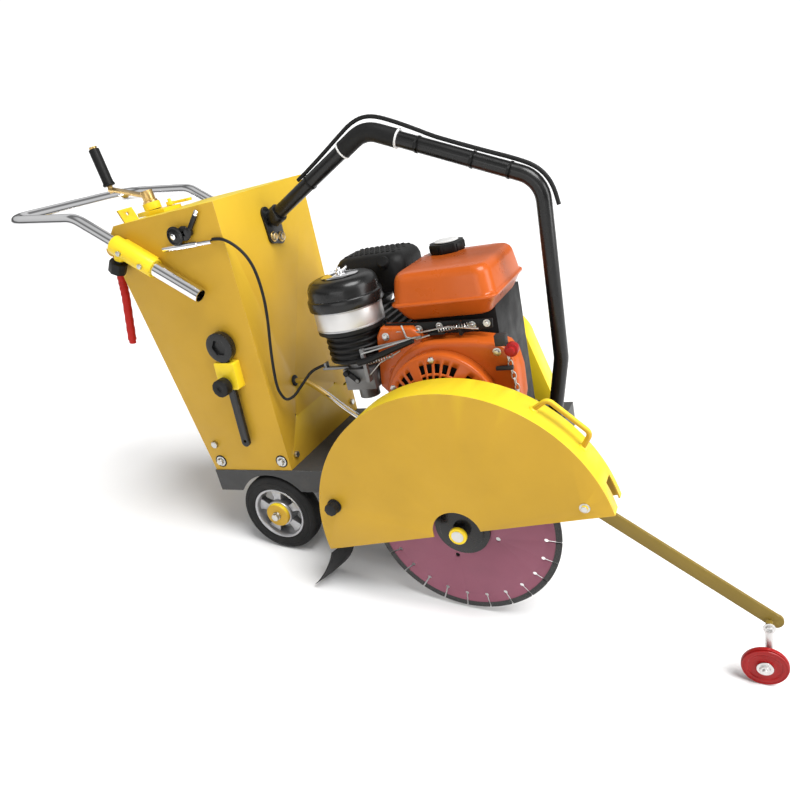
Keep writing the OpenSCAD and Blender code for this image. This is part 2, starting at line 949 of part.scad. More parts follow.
module arbor_shaft() color("silver") stand() {
    pin_y(0, 0, 17.5, 14.1, 412);
    pin_y(0, 0, 12.6, -38, 14.2);
    grooved_pulley(0, 0);
    pin_y(0, 0, 14, 410, 462);
}

module blade_flanges() color("#202020") stand() {
    difference() {
        union() {
            pin_y(0, 0, flange_r, core_t / 2 + 0.05, 14, 72);
            pin_y(0, 0, flange_r, -9, -core_t / 2 - 0.05, 72);
            pin_y(0, 0, flange_r - 12, -14, -8, 72);
            pin_y(0, 0, 21, -28, -13, 6);
        }
        pin_y(0, 0, 12.65, -40, 20);
        pin_y(0, 0, flange_r - 10, -1.6, 1.6, 72);
    }
}

module blade() color("#8f5a68") stand() {
    difference() {
        union() {
            pin_y(0, 0, blade_r - 12, -core_t / 2, core_t / 2, 144);
            difference() {
                pin_y(0, 0, blade_r, -2.2, 2.2, 144);
                pin_y(0, 0, blade_r - 13, -3, 3, 144);
            }
        }
        pin_y(0, 0, 12.7, -5, 5);
        for (k = [0 : segments - 1])
            rotate([0, (k + 0.5) * 360 / segments, 0]) {
                translate([blade_r - 30, -5, -1.6])
                    cube([40, 10, 3.2]);
                pin_y(blade_r - 31, 0, 4.2, -5, 5, 24);
            }
        for (a = [-20, 250])
            pin_y(74 * cos(a), 74 * sin(a), 5, -5, 5, 24);
    }
}

function rim_at(a, r) = [guard_x + r * cos(a), -4, guard_z + r * sin(a)];
module in_guard() {
    translate([guard_x, 0, guard_z])
        rotate([0, -guard_slope, 0])
            children();
}
module half_disc(r, z0) {
    difference() {
        circle(r = r, $fn = 180);
        translate([-400, -400])
            square([800, 400 + z0]);
    }
}
module guard_shell() color("gold") stand() {
    difference() {
        in_guard()
            difference() {
                slab_y(guard_near, guard_far)
                    half_disc(guard_r, edge_above);
                slab_y(guard_near + guard_t, guard_far - guard_t)
                    half_disc(guard_r - guard_t, edge_above - 10);
                // arbor notch
                pin_y(0, edge_above - 2, 52, guard_near - 5, guard_far + 5, 72);
            }
        // pin slot at the far side and guide arm slot in the rim
        slab_y(guard_far - 8, guard_far + 2)
            link([arm_x, arm_z], [arm_x + 8, arm_z - 60], 22);
        translate([270, -15, 40])
            cube([60, 30, 78]);
        pin_y(hinge_x, hinge_z, 8.3, -60, 40);
        // stub relief for the guide arm pin
        pin_y(arm_x, arm_z, 12, guard_far - 8, guard_far + 2);
    }
    // spacer tube of the hinge
    difference() {
        pin_y(hinge_x, hinge_z, 12, guard_near + 1, guard_far - 1);
        pin_y(hinge_x, hinge_z, 8.3, guard_near - 5, guard_far + 5);
    }
    // front bolt and lifting handle
    pin_y(260, 83, 7, guard_near - 6, guard_near + 0.5, 6);
    cord(rounded([rim_at(handle_a1, guard_r + 0.4), rim_at(handle_a1 - 2, guard_r + 30),
        rim_at(handle_a0 + 2, guard_r + 30), rim_at(handle_a0, guard_r + 0.4)], 12, 5), 5, 12);
}

module mud_flap() color("#151515") stand() {
    slab_y(-52, 24)
        polygon(ribbon(flap_pts, 5));
}

module guard_knob() color("black") stand() {
    difference() {
        union() {
            pin_y(hinge_x, hinge_z, 14, -66, -48, 8);
            pin_y(hinge_x, hinge_z, 16, -49, -46.2);
        }
        pin_y(hinge_x, hinge_z, 5.3, -62, -40);
    }
}

module guide_arm() color("#a08028") stand() {
    difference() {
        union() {
            slab_y(4, 10)
                link([arm_x, arm_z], [560, -172], 28);
            pin_y(arm_x, arm_z, 13, -14, 4.2);
        }
        pin_y(arm_x, arm_z, 6.3, -20, 20);
    }
    // stem, its top bolt and the wheel axle
    translate([guide_x + 7, -1.4, guide_z - 10])
        cylinder(r = 6, h = 98);
    pin_y(guide_x + 7, guide_z + 78, 5, -14, 14);
    pin_y(guide_x, guide_z, 5, -26, 2);
    pin_y(guide_x, guide_z, 10, -2, 3);
    pin_y(guide_x, guide_z, 9, -31, -25, 6);
}

module guide_wheel() color("firebrick") stand() {
    difference() {
        union() {
            pin_y(guide_x, guide_z, guide_d / 2 - 3, -24, -10, 72);
            pin_y(guide_x, guide_z, guide_d / 2, -21, -13, 72);
        }
        pin_y(guide_x, guide_z, 5.3, -40, 30);
        translate([guide_x, -24, guide_z])
            rotate([-90, 0, 0])
                rotate_extrude()
                    polygon([[15, -1], [30, -1], [28, 2], [17, 2]]);
    }
}

function leg_at(y, s) = [-506 - s * cos(leg_a), y, 520 + s * sin(leg_a)];
module handlebar() color("silver") stand() {
    for (y = [handle_y, handle_far])
        difference() {
            on_leg(y, 0)
                cylinder(r = tube_d / 2, h = leg_cut - 0.1);
            on_leg(y, -1)
                cylinder(r = tube_d / 2 - 2.5, h = 80);
        }
    cord(rounded([leg_at(handle_y, leg_cut), [-775, handle_y, 712], [bow_x, handle_y, bow_z],
        [bow_x, handle_far, bow_z], [-775, handle_far, 712], leg_at(handle_far, leg_cut)], 56, 7),
        tube_d / 2, 20);
}

module handle_knob(y) {
    on_leg(y, 210)
        rotate([0, -90, 0]) {
            translate([0, 0, tube_d / 2 + 0.35])
                cylinder(r = 5, h = 20);
            translate([0, 0, 28.4])
                cylinder(r = 9, h = 8);
            translate([0, 0, 34])
                cylinder(r = 19, h = 24, $fn = 8);
        }
}
module handle_knob_right() color("black") stand() handle_knob(handle_y);
module handle_knob_left() color("black") stand() handle_knob(handle_far);

module axle_carrier() color("dimgray") stand() {
    difference() {
        union() {
            for (y = [170, 290])
                slab_y(y, y + 10)
                    link([carrier_x, carrier_z], [front_x, front_z], 36);
            pin_y(carrier_x, carrier_z, 17, 157, 309);
            pin_y(front_x, front_z, 14, 156, 310);
            // fork tail reaching back to the depth nut
            for (y = [screw_y - 26, screw_y + 18])
                slab_y(y, y + 8)
                    link([carrier_x, carrier_z], [carrier_x + tail_x, carrier_z + tail_z], 28);
        }
        pin_y(carrier_x, carrier_z, 10.3, 140, 320);
        slab_y(screw_y - 30, screw_y + 30)
            link([carrier_x + tail_x * 0.928, carrier_z + tail_z * 0.928],
                [carrier_x + tail_x * 0.997, carrier_z + tail_z * 0.997], 19);
    }
    pin_y(front_x, front_z, 10, 98, 368);
}

module rear_tyre(y0, y1) {
    difference() {
        pin_y(rear_x, rear_z, rear_d / 2, y0, y1, 96);
        pin_y(rear_x, rear_z, 68, y0 - 1, y1 + 1, 96);
        for (y = [y0 + 12, y1 - 12])
            translate([rear_x, y, rear_z])
                rotate([-90, 0, 0])
                    rotate_extrude($fn = 96)
                        translate([rear_d / 2, 0])
                            circle(r = 3);
    }
}
module rear_rim(y0, y1, out) {
    difference() {
        union() {
            difference() {
                pin_y(rear_x, rear_z, 67.9, y0 + 1, y1 - 1, 96);
                pin_y(rear_x, rear_z, 60, y0 - 1, y1 + 1, 96);
            }
            pin_y(rear_x, rear_z, 34, y0 + 2, y1 - 2, 64);
            for (a = [0 : 72 : 288])
                rotate_about(rear_x, rear_z, a + 18)
                    translate([rear_x + 30, (y0 + y1) / 2 - 7, rear_z - 7])
                        cube([32, 14, 14]);
        }
        pin_y(rear_x, rear_z, 10.3, y0 - 20, y1 + 20);
    }
    difference() {
        pin_y(rear_x, rear_z, 30, out < 0 ? y0 - 6 : y1 - 4, out < 0 ? y0 + 4 : y1 + 6, 64);
        pin_y(rear_x, rear_z, 10.3, y0 - 20, y1 + 20);
    }
}
module rear_tyre_right() color("#1c1c1c") stand() rear_tyre(58, 103);
module rear_tyre_left() color("#1c1c1c") stand() rear_tyre(363, 408);
module rear_rim_right() color("silver") stand() rear_rim(58, 103, -1);
module rear_rim_left() color("silver") stand() rear_rim(363, 408, 1);

module rotate_about(x, z, a) {
    translate([x, 0, z])
        rotate([0, a, 0])
            translate([-x, 0, -z])
                children();
}
module front_wheel(y0, y1) {
    difference() {
        pin_y(front_x, front_z, front_d / 2, y0, y1, 72);
        translate([front_x, y0, front_z])
            rotate([-90, 0, 0])
                rotate_extrude()
                    polygon([[18, -1], [54, -1], [52, 9], [20, 9]]);
        translate([front_x, y1, front_z])
            rotate([-90, 0, 0])
                rotate_extrude()
                    polygon([[18, 1], [54, 1], [52, -9], [20, -9]]);
        pin_y(front_x, front_z, 10.3, y0 - 2, y1 + 2);
    }
}

module front_wheel_right() color("#1c1c1c") stand() front_wheel(104, 144);
module front_wheel_left() color("#1c1c1c") stand() front_wheel(322, 362);

module engine_switch() color("#c23a1a") stand() {
    pin_y(128, 340, 13, 82, 95.9, 24);
    pin_y(128, 340, 8, 74, 83, 24);
}

module recoil_grip() color("black") stand() {
    translate(grip_at)
        rotate([0, 70, 0]) {
            cylinder(r = 8, h = 22);
            translate([0, -28, 26])
                rotate([-90, 0, 0])
                    cylinder(r = 11, h = 39);
        }
}

module choke_lever() color("black") stand() {
    difference() {
        slab_y(89, 94)
            link([-215, 292], [-235, 311], 11);
        pin_y(-215, 292, 4.1, 80, 102);
    }
    pin_y(-235, 311, 6, 82, 90);
}

module oil_cap() color("black") stand() {
    translate([60, 210, 132])
        rotate([0, 90, 0]) {
            cylinder(r = 8.8, h = 20);
            translate([0, 0, 18.3])
                cylinder(r = 15, h = 14, $fn = 10);
        }
}

deck();
rear_axle();
console();
handle_sleeves();
crank_bearing();
throttle_mount();
throttle_cable();
wrench_holder();
lift_bar();
lift_sleeve();
lift_brackets();
lift_hose();
water_pipe();
fasteners();
crankcase();
cylinder_block();
fan_shroud();
recoil_cover();
fuel_tank();
muffler();
air_cleaner_base();
air_cleaner_band();
air_cleaner_cover();
carburettor();
bearing_housings();
belt_guard();
drive_belts();
arbor_shaft();
blade_flanges();
blade();
engine_shaft();
guard_shell();
mud_flap();
guard_knob();
guide_arm();
guide_wheel();
handlebar();
handle_knob_right();
handle_knob_left();
crank();
crank_grip();
depth_nut();
crank_lock();
axle_carrier();
rear_tyre_right();
rear_rim_right();
rear_tyre_left();
rear_rim_left();
front_wheel_right();
front_wheel_left();
throttle_lever();
wrench();
wrench_knob();
hand_lever();
fuel_cap();
engine_switch();
recoil_grip();
choke_lever();
oil_cap();
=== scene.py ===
import json
import math

import bmesh
import bpy
from mathutils import Matrix, Vector


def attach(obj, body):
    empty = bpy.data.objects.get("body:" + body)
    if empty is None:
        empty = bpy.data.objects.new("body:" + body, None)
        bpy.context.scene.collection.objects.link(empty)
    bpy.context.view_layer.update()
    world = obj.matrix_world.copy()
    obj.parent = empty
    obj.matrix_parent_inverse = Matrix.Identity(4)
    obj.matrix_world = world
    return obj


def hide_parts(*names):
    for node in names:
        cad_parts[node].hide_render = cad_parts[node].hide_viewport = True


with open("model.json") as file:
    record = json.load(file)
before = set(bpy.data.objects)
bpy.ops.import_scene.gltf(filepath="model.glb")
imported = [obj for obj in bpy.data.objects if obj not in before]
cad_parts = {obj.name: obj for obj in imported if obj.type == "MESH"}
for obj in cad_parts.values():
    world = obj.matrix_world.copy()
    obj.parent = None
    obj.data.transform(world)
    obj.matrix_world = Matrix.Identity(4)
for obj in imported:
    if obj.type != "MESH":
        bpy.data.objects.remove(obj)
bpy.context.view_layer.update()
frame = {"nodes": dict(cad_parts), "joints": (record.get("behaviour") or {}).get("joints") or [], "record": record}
scene = bpy.context.scene
joint = {j["name"]: j for j in frame["joints"]}

# ---- Chassis frame: millimetres, +X forward along the deck, arbor at x = z = 0 ----
MM = 0.001
ARBOR_Y = 230  # where the arbor joint's own point sits across the machine
forward = Vector(joint["oil_cap_turn"]["axis"])
left = Vector((0, 1, 0))
up = forward.cross(left)
chassis = Matrix((forward * MM, left * MM, up * MM)).transposed().to_4x4()
chassis.translation = Vector(joint["arbor_spin"]["pos_m"]) - left * ARBOR_Y * MM

# ---- Camera, light and floor ----
CAMERA_AT = (0.6481, -1.3298, 1.0471)
CAMERA_RIGHT = Vector((0.9165, 0.3940, -0.0654))
CAMERA_DOWN = Vector((0.1307, -0.4520, -0.8824))
CAMERA_SHIFT = (-0.0008, 0.048)
LENS_MM = 32.06
SENSOR_MM = 36
SUN_POWER = 3.9
SUN_SPREAD = math.radians(35)
SUN_ALONG = Vector((-0.42, 0.14, -0.90))
FLOOR_REACH = 60  # metres from the middle to each edge
FLOOR_GREY = 0.80
WORLD_POWER = 0.6
WORLD_BANDS = [(0.0, 0.55), (0.50, 0.75), (0.53, 0.22), (0.60, 0.18), (0.64, 1.0), (0.82, 1.25),
               (0.86, 0.35), (0.93, 0.30), (1.0, 1.2)]  # height from nadir to zenith, brightness
BACKDROP = 1.8  # brightness of the world where the camera sees it


def add_camera():
    data = bpy.data.cameras.new("camera")
    data.sensor_width = SENSOR_MM
    data.lens = LENS_MM
    data.shift_x, data.shift_y = CAMERA_SHIFT
    obj = bpy.data.objects.new("camera", data)
    scene.collection.objects.link(obj)
    right = CAMERA_RIGHT.normalized()
    back = right.cross(-CAMERA_DOWN).normalized()
    turn = Matrix((right, back.cross(right), back)).transposed()
    obj.matrix_world = Matrix.Translation(CAMERA_AT) @ turn.to_4x4()
    scene.camera = obj


def add_area(name, place, aim, size, power):
    """Rectangular lamp at place, turned towards aim."""
    data = bpy.data.lights.new(name, "AREA")
    data.shape = "RECTANGLE"
    data.size, data.size_y = size
    data.energy = power
    obj = bpy.data.objects.new(name, data)
    scene.collection.objects.link(obj)
    obj.location = place
    obj.rotation_euler = (Vector(aim) - Vector(place)).to_track_quat("-Z", "Y").to_euler()


def add_sun():
    data = bpy.data.lights.new("key_sun", "SUN")
    data.energy = SUN_POWER
    data.angle = SUN_SPREAD
    obj = bpy.data.objects.new("key_sun", data)
    scene.collection.objects.link(obj)
    obj.rotation_euler = SUN_ALONG.to_track_quat("-Z", "Y").to_euler()


def add_floor():
    mesh = bpy.data.meshes.new("floor")
    corners = [(x * FLOOR_REACH, y * FLOOR_REACH, 0) for x, y in ((-1, -1), (1, -1), (1, 1), (-1, 1))]
    mesh.from_pydata(corners, [], [(0, 1, 2, 3)])
    obj = bpy.data.objects.new("floor", mesh)
    scene.collection.objects.link(obj)
    mat = bpy.data.materials.new("floor_paper")
    mat.use_nodes = True
    shader = mat.node_tree.nodes["Principled BSDF"]
    shader.inputs["Base Color"].default_value = (FLOOR_GREY, FLOOR_GREY, FLOOR_GREY, 1)
    shader.inputs["Roughness"].default_value = 0.95
    shader.inputs["Specular IOR Level"].default_value = 0.1
    mesh.materials.append(mat)


def add_world():
    """Studio with a dark strip above the horizon and another overhead, for the chrome to show."""
    world = bpy.data.worlds.new("studio")
    world.use_nodes = True
    scene.world = world
    tree = world.node_tree
    sky = tree.nodes["Background"]
    sky.inputs["Strength"].default_value = WORLD_POWER
    coords = tree.nodes.new("ShaderNodeTexCoord")
    split = tree.nodes.new("ShaderNodeSeparateXYZ")
    ramp = tree.nodes.new("ShaderNodeValToRGB")
    height = tree.nodes.new("ShaderNodeMapRange")
    height.inputs["From Min"].default_value = -1
    height.inputs["From Max"].default_value = 1
    tree.links.new(coords.outputs["Generated"], split.inputs[0])
    tree.links.new(split.outputs["Z"], height.inputs["Value"])
    tree.links.new(height.outputs["Result"], ramp.inputs["Fac"])
    band = ramp.color_ramp
    band.elements[0].position, band.elements[1].position = WORLD_BANDS[0][0], WORLD_BANDS[-1][0]
    for place, _ in WORLD_BANDS[1:-1]:
        band.elements.new(place)
    for element, (_, level) in zip(band.elements, WORLD_BANDS):
        element.color = (level, level, level, 1)
    seen = tree.nodes.new("ShaderNodeMix")
    seen.data_type = "RGBA"
    tree.links.new(tree.nodes.new("ShaderNodeLightPath").outputs["Is Camera Ray"], seen.inputs["Factor"])
    tree.links.new(ramp.outputs[0], seen.inputs[6])
    seen.inputs[7].default_value = (BACKDROP, BACKDROP, BACKDROP, 1)
    tree.links.new(seen.outputs[2], sky.inputs["Color"])


# ---- Materials ----
RIM_FROM = 187.5  # radius where the blade's diamond rim starts
YELLOW = (0.50, 0.295, 0.024)
LIGHT_YELLOW = (0.78, 0.56, 0.02)
# pale yellow of the painted highlight laid on the upward faces of the yellow paint
HIGHLIGHT_YELLOW = (0.72, 0.55, 0.02)
WORN_METAL = (0.45, 0.45, 0.45)
WEAR_RADIUS = 0.0016


def new_material(name, colour, rough, metal=0.0, coat=0.0, vary=0.05, grain=0.0, grain_scale=900,
                 dirt=0.0, dirt_colour=(0.05, 0.04, 0.03), wear=0.0, shine=0.2, top_highlight=None):
    """A painted, cast, rubber or plastic finish: blotchy colour, grain in the bump, dust and worn edges, and,
    where asked, a painted highlight that lightens the upward faces.
    """
    mat = bpy.data.materials.new(name)
    mat.use_nodes = True
    tree = mat.node_tree
    nodes, links = tree.nodes, tree.links
    shader = nodes["Principled BSDF"]
    shader.inputs["Metallic"].default_value = metal
    shader.inputs["Coat Weight"].default_value = coat
    shader.inputs["Coat Roughness"].default_value = 0.12
    shader.inputs["Specular IOR Level"].default_value = shine
    place = nodes.new("ShaderNodeTexCoord").outputs["Object"]

    def noise(scale, detail, rough_noise=0.55):
        node = nodes.new("ShaderNodeTexNoise")
        node.inputs["Scale"].default_value = scale
        node.inputs["Detail"].default_value = detail
        node.inputs["Roughness"].default_value = rough_noise
        links.new(place, node.inputs["Vector"])
        return node.outputs["Fac"]

    def remap(value, lo, hi, out_lo, out_hi):
        node = nodes.new("ShaderNodeMapRange")
        links.new(value, node.inputs["Value"])
        for socket, number in zip(("From Min", "From Max", "To Min", "To Max"), (lo, hi, out_lo, out_hi)):
            node.inputs[socket].default_value = number
        return node.outputs["Result"]

    def mix(fac, a, b):
        node = nodes.new("ShaderNodeMix")
        node.data_type = "RGBA"
        if isinstance(fac, float):
            node.inputs["Factor"].default_value = fac
        else:
            links.new(fac, node.inputs["Factor"])
        for socket, value in ((node.inputs[6], a), (node.inputs[7], b)):
            if isinstance(value, tuple):
                socket.default_value = (*value, 1)
            else:
                links.new(value, socket)
        return node.outputs[2]

    dark = tuple(c * (1 - vary) for c in colour)
    light = tuple(min(1, c * (1 + vary)) for c in colour)
    shade = mix(remap(noise(7, 4), 0.3, 0.7, 0, 1), dark, light)
    if top_highlight:
        # painted highlight: faces turned upward are lightened towards a pale yellow, standing in for the strong
        # light from above
        upward_part = nodes.new("ShaderNodeSeparateXYZ")
        links.new(nodes.new("ShaderNodeNewGeometry").outputs["Normal"], upward_part.inputs[0])
        shade = mix(remap(upward_part.outputs["Z"], 0.15, 0.75, 0, 0.85), shade, top_highlight)
    if dirt:
        shade = mix(remap(noise(16, 8, 0.7), 0.55, 0.85, 0, dirt), shade, dirt_colour)
    if wear:
        edge = nodes.new("ShaderNodeBevel")
        edge.samples = 4
        edge.inputs["Radius"].default_value = WEAR_RADIUS
        flat = nodes.new("ShaderNodeNewGeometry")
        dot = nodes.new("ShaderNodeVectorMath")
        dot.operation = "DOT_PRODUCT"
        links.new(edge.outputs[0], dot.inputs[0])
        links.new(flat.outputs["Normal"], dot.inputs[1])
        rim = remap(dot.outputs["Value"], 0.97, 0.86, 0, 1)
        patch = remap(noise(60, 6, 0.7), 0.5, 0.62, 0, wear)
        both = nodes.new("ShaderNodeMath")
        both.operation = "MULTIPLY"
        links.new(rim, both.inputs[0])
        links.new(patch, both.inputs[1])
        shade = mix(both.outputs[0], shade, WORN_METAL)
    links.new(shade, shader.inputs["Base Color"])
    links.new(remap(noise(24, 5), 0.3, 0.7, rough * 0.85, min(1, rough * 1.2)), shader.inputs["Roughness"])
    bump = nodes.new("ShaderNodeBump")
    bump.inputs["Strength"].default_value = max(grain, 0.02)
    bump.inputs["Distance"].default_value = 0.0004
    links.new(noise(grain_scale, 3), bump.inputs["Height"])
    links.new(bump.outputs[0], shader.inputs["Normal"])
    return mat


def blade_material():
    """Mauve painted core inside a dark diamond rim, split by the distance from the arbor."""
    mat = new_material("blade_paint", (0.235, 0.078, 0.115), 0.42, coat=0.04, vary=0.08, grain=0.05)
    tree = mat.node_tree
    nodes, links = tree.nodes, tree.links
    shader = nodes["Principled BSDF"]
    core = shader.inputs["Base Color"].links[0].from_socket
    place = nodes["Texture Coordinate"].outputs["Object"]
    offset = nodes.new("ShaderNodeVectorMath")
    offset.operation = "SUBTRACT"
    offset.inputs[1].default_value = Vector(joint["arbor_spin"]["pos_m"])
    links.new(place, offset.inputs[0])
    in_plane = nodes.new("ShaderNodeVectorMath")
    in_plane.operation = "MULTIPLY"
    in_plane.inputs[1].default_value = (1, 0, 1)
    links.new(offset.outputs[0], in_plane.inputs[0])
    reach = nodes.new("ShaderNodeVectorMath")
    reach.operation = "LENGTH"
    links.new(in_plane.outputs[0], reach.inputs[0])
    rim = nodes.new("ShaderNodeMapRange")
    rim.inputs["From Min"].default_value = (RIM_FROM - 0.4) * MM
    rim.inputs["From Max"].default_value = (RIM_FROM + 0.4) * MM
    links.new(reach.outputs["Value"], rim.inputs["Value"])
    grit = nodes.new("ShaderNodeTexVoronoi")
    grit.inputs["Scale"].default_value = 900
    links.new(place, grit.inputs["Vector"])
    speck = nodes.new("ShaderNodeValToRGB")
    speck.color_ramp.elements[0].color = (0.16, 0.16, 0.15, 1)
    speck.color_ramp.elements[0].position = 0.12
    speck.color_ramp.elements[1].color = (0.03, 0.03, 0.03, 1)
    speck.color_ramp.elements[1].position = 0.3
    links.new(grit.outputs["Distance"], speck.inputs["Fac"])
    join = nodes.new("ShaderNodeMix")
    join.data_type = "RGBA"
    links.new(rim.outputs["Result"], join.inputs["Factor"])
    links.new(core, join.inputs[6])
    links.new(speck.outputs[0], join.inputs[7])
    links.new(join.outputs[2], shader.inputs["Base Color"])
    return mat


finish = {
    # the yellow panel paint carries a painted highlight: its upward faces are lightened towards the pale yellow
    "yellow": new_material("panel_paint", YELLOW, 0.42, coat=0.04, vary=0.05, grain=0.10, grain_scale=700,
                           dirt=0.10, dirt_colour=(0.26, 0.14, 0.015), wear=0.35, top_highlight=HIGHLIGHT_YELLOW),
    "yellow_light": new_material("bright_paint", LIGHT_YELLOW, 0.36, coat=0.08, vary=0.05, grain=0.08,
                                 grain_scale=700, wear=0.3),
    "deck_grey": new_material("deck_paint", (0.048, 0.048, 0.048), 0.48, coat=0.02, vary=0.12, grain=0.25,
                              grain_scale=500, dirt=0.25, dirt_colour=(0.16, 0.14, 0.11), wear=0.5),
    "black_paint": new_material("black_paint", (0.007, 0.007, 0.007), 0.28, coat=0.12, vary=0.2, grain=0.06,
                                wear=0.25, shine=0.3),
    "chrome": new_material("chrome_plate", (0.80, 0.80, 0.81), 0.10, metal=1, vary=0.04, grain=0.02),
    "steel": new_material("zinc_steel", (0.52, 0.52, 0.50), 0.32, metal=1, vary=0.12, grain=0.06, dirt=0.3,
                          dirt_colour=(0.25, 0.20, 0.13)),
    "rubber": new_material("hose_rubber", (0.010, 0.010, 0.010), 0.5, vary=0.2, grain=0.2, grain_scale=900),
    "tyre": new_material("tyre_rubber", (0.013, 0.013, 0.013), 0.7, vary=0.25, grain=0.35, grain_scale=700,
                         dirt=0.35, dirt_colour=(0.07, 0.06, 0.05)),
    "rim": new_material("rim_alloy", (0.42, 0.42, 0.43), 0.38, metal=0.9, vary=0.1, grain=0.2,
                        grain_scale=600, dirt=0.2),
    "plastic": new_material("black_plastic", (0.008, 0.008, 0.008), 0.40, vary=0.2, grain=0.3,
                            grain_scale=1400),
    "orange": new_material("engine_paint", (0.46, 0.088, 0.010), 0.30, coat=0.16, vary=0.05, grain=0.05,
                           grain_scale=600, wear=0.15),
    "cast": new_material("cast_iron", (0.035, 0.035, 0.035), 0.55, metal=0.4, vary=0.3, grain=0.6,
                         grain_scale=420, dirt=0.3, dirt_colour=(0.10, 0.05, 0.03)),
    "core": blade_material(),
    "red": new_material("red_plastic", (0.30, 0.008, 0.008), 0.34, coat=0.08, vary=0.08, grain=0.1),
    "red_rubber": new_material("red_grip", (0.40, 0.012, 0.008), 0.5, vary=0.1, grain=0.5, grain_scale=500),
    "alu": new_material("cast_alloy", (0.20, 0.20, 0.20), 0.5, metal=0.7, vary=0.2, grain=0.5,
                        grain_scale=450, dirt=0.3, dirt_colour=(0.03, 0.03, 0.03)),
    "alu_black": new_material("black_casting", (0.014, 0.014, 0.014), 0.5, metal=0.3, vary=0.25, grain=0.5,
                              grain_scale=450, dirt=0.2, dirt_colour=(0.07, 0.06, 0.05)),
    "olive": new_material("arm_paint", (0.20, 0.135, 0.024), 0.45, coat=0.03, vary=0.1, grain=0.12,
                          dirt=0.15, wear=0.4),
    "mesh_black": new_material("textured_black", (0.010, 0.010, 0.010), 0.45, vary=0.3, grain=1.0,
                               grain_scale=260),
    "white": new_material("pale_plastic", (0.72, 0.72, 0.71), 0.35, coat=0.2, vary=0.04, grain=0.08),
    "satin": new_material("satin_steel", (0.62, 0.61, 0.60), 0.42, metal=0.9, vary=0.05, grain=0.03),
    "brass": new_material("yellow_zinc", (0.62, 0.42, 0.16), 0.3, metal=1, vary=0.12, grain=0.05),
}

add_camera()
add_world()
add_floor()
add_sun()
add_area("front_light", (3.4, 0.2, 1.7), (0, 0, 0.45), (1.6, 2.2), 60)
add_area("near_light", (0.3, -4.2, 1.5), (0, 0, 0.4), (3.4, 1.2), 30)
scene.view_settings.view_transform = "Standard"

# ---- CAD nodes: finish, rounded edges and smooth shading ----
NODE_FINISH = {
    "lift_brackets": "black_paint", "crank": "brass", "lift_sleeve": "rubber", "air_cleaner_base": "plastic",
    "engine_shaft": "cast", "air_cleaner_band": "satin", "carburettor": "alu",
    "blade_flanges": "black_paint", "wrench_holder": "yellow_light",
}
EDGE_MM = {
    "console": 2.2, "deck": 1.6, "guard_shell": 1.0, "air_cleaner_base": 1.0, "belt_guard": 1.5,
    "crankcase": 3.0, "wrench_holder": 1.6, "crank_grip": 2.0, "guide_wheel": 3.0, "fuel_cap": 2.0,
}
SLOT_OF = {s["node"]: s["material_slot"] for s in frame["record"]["subparts"]}
SWEPT = {"handlebar", "lift_bar", "lift_sleeve", "water_pipe", "hand_lever"}  # tubes, left unbevelled
OTHER_EDGE_MM = 0.6
WELD_M = 0.00001
BEVEL_FROM = math.radians(32)
SPLIT_FROM = 38  # degrees between two faces that stay a crisp edge


def add_bevel(obj, width_mm):
    bevel = obj.modifiers.new("bevel", "BEVEL")
    bevel.width = width_mm * MM
    bevel.segments = 2
    bevel.limit_method = "ANGLE"
    bevel.angle_limit = BEVEL_FROM


def soften(obj, width_mm):
    """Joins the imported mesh, rounds its sharp edges and keeps flat faces flat."""
    for poly in obj.data.polygons:
        poly.use_smooth = True
    if obj.data.has_custom_normals:
        with bpy.context.temp_override(object=obj, active_object=obj, selected_objects=[obj]):
            bpy.ops.mesh.customdata_custom_splitnormals_clear()
    weld = obj.modifiers.new("weld", "WELD")
    weld.merge_threshold = WELD_M
    if width_mm:
        add_bevel(obj, width_mm)
    split = obj.modifiers.new("split", "EDGE_SPLIT")
    split.split_angle = math.radians(SPLIT_FROM)


for name, node in frame["nodes"].items():
    key = NODE_FINISH.get(name, SLOT_OF[name])
    node.data.materials.clear()
    node.data.materials.append(finish[key])
    soften(node, 0 if name in SWEPT else EDGE_MM.get(name, OTHER_EDGE_MM))


# ---- Mesh tools, all in chassis millimetres ----
CORNER_STEPS = 8


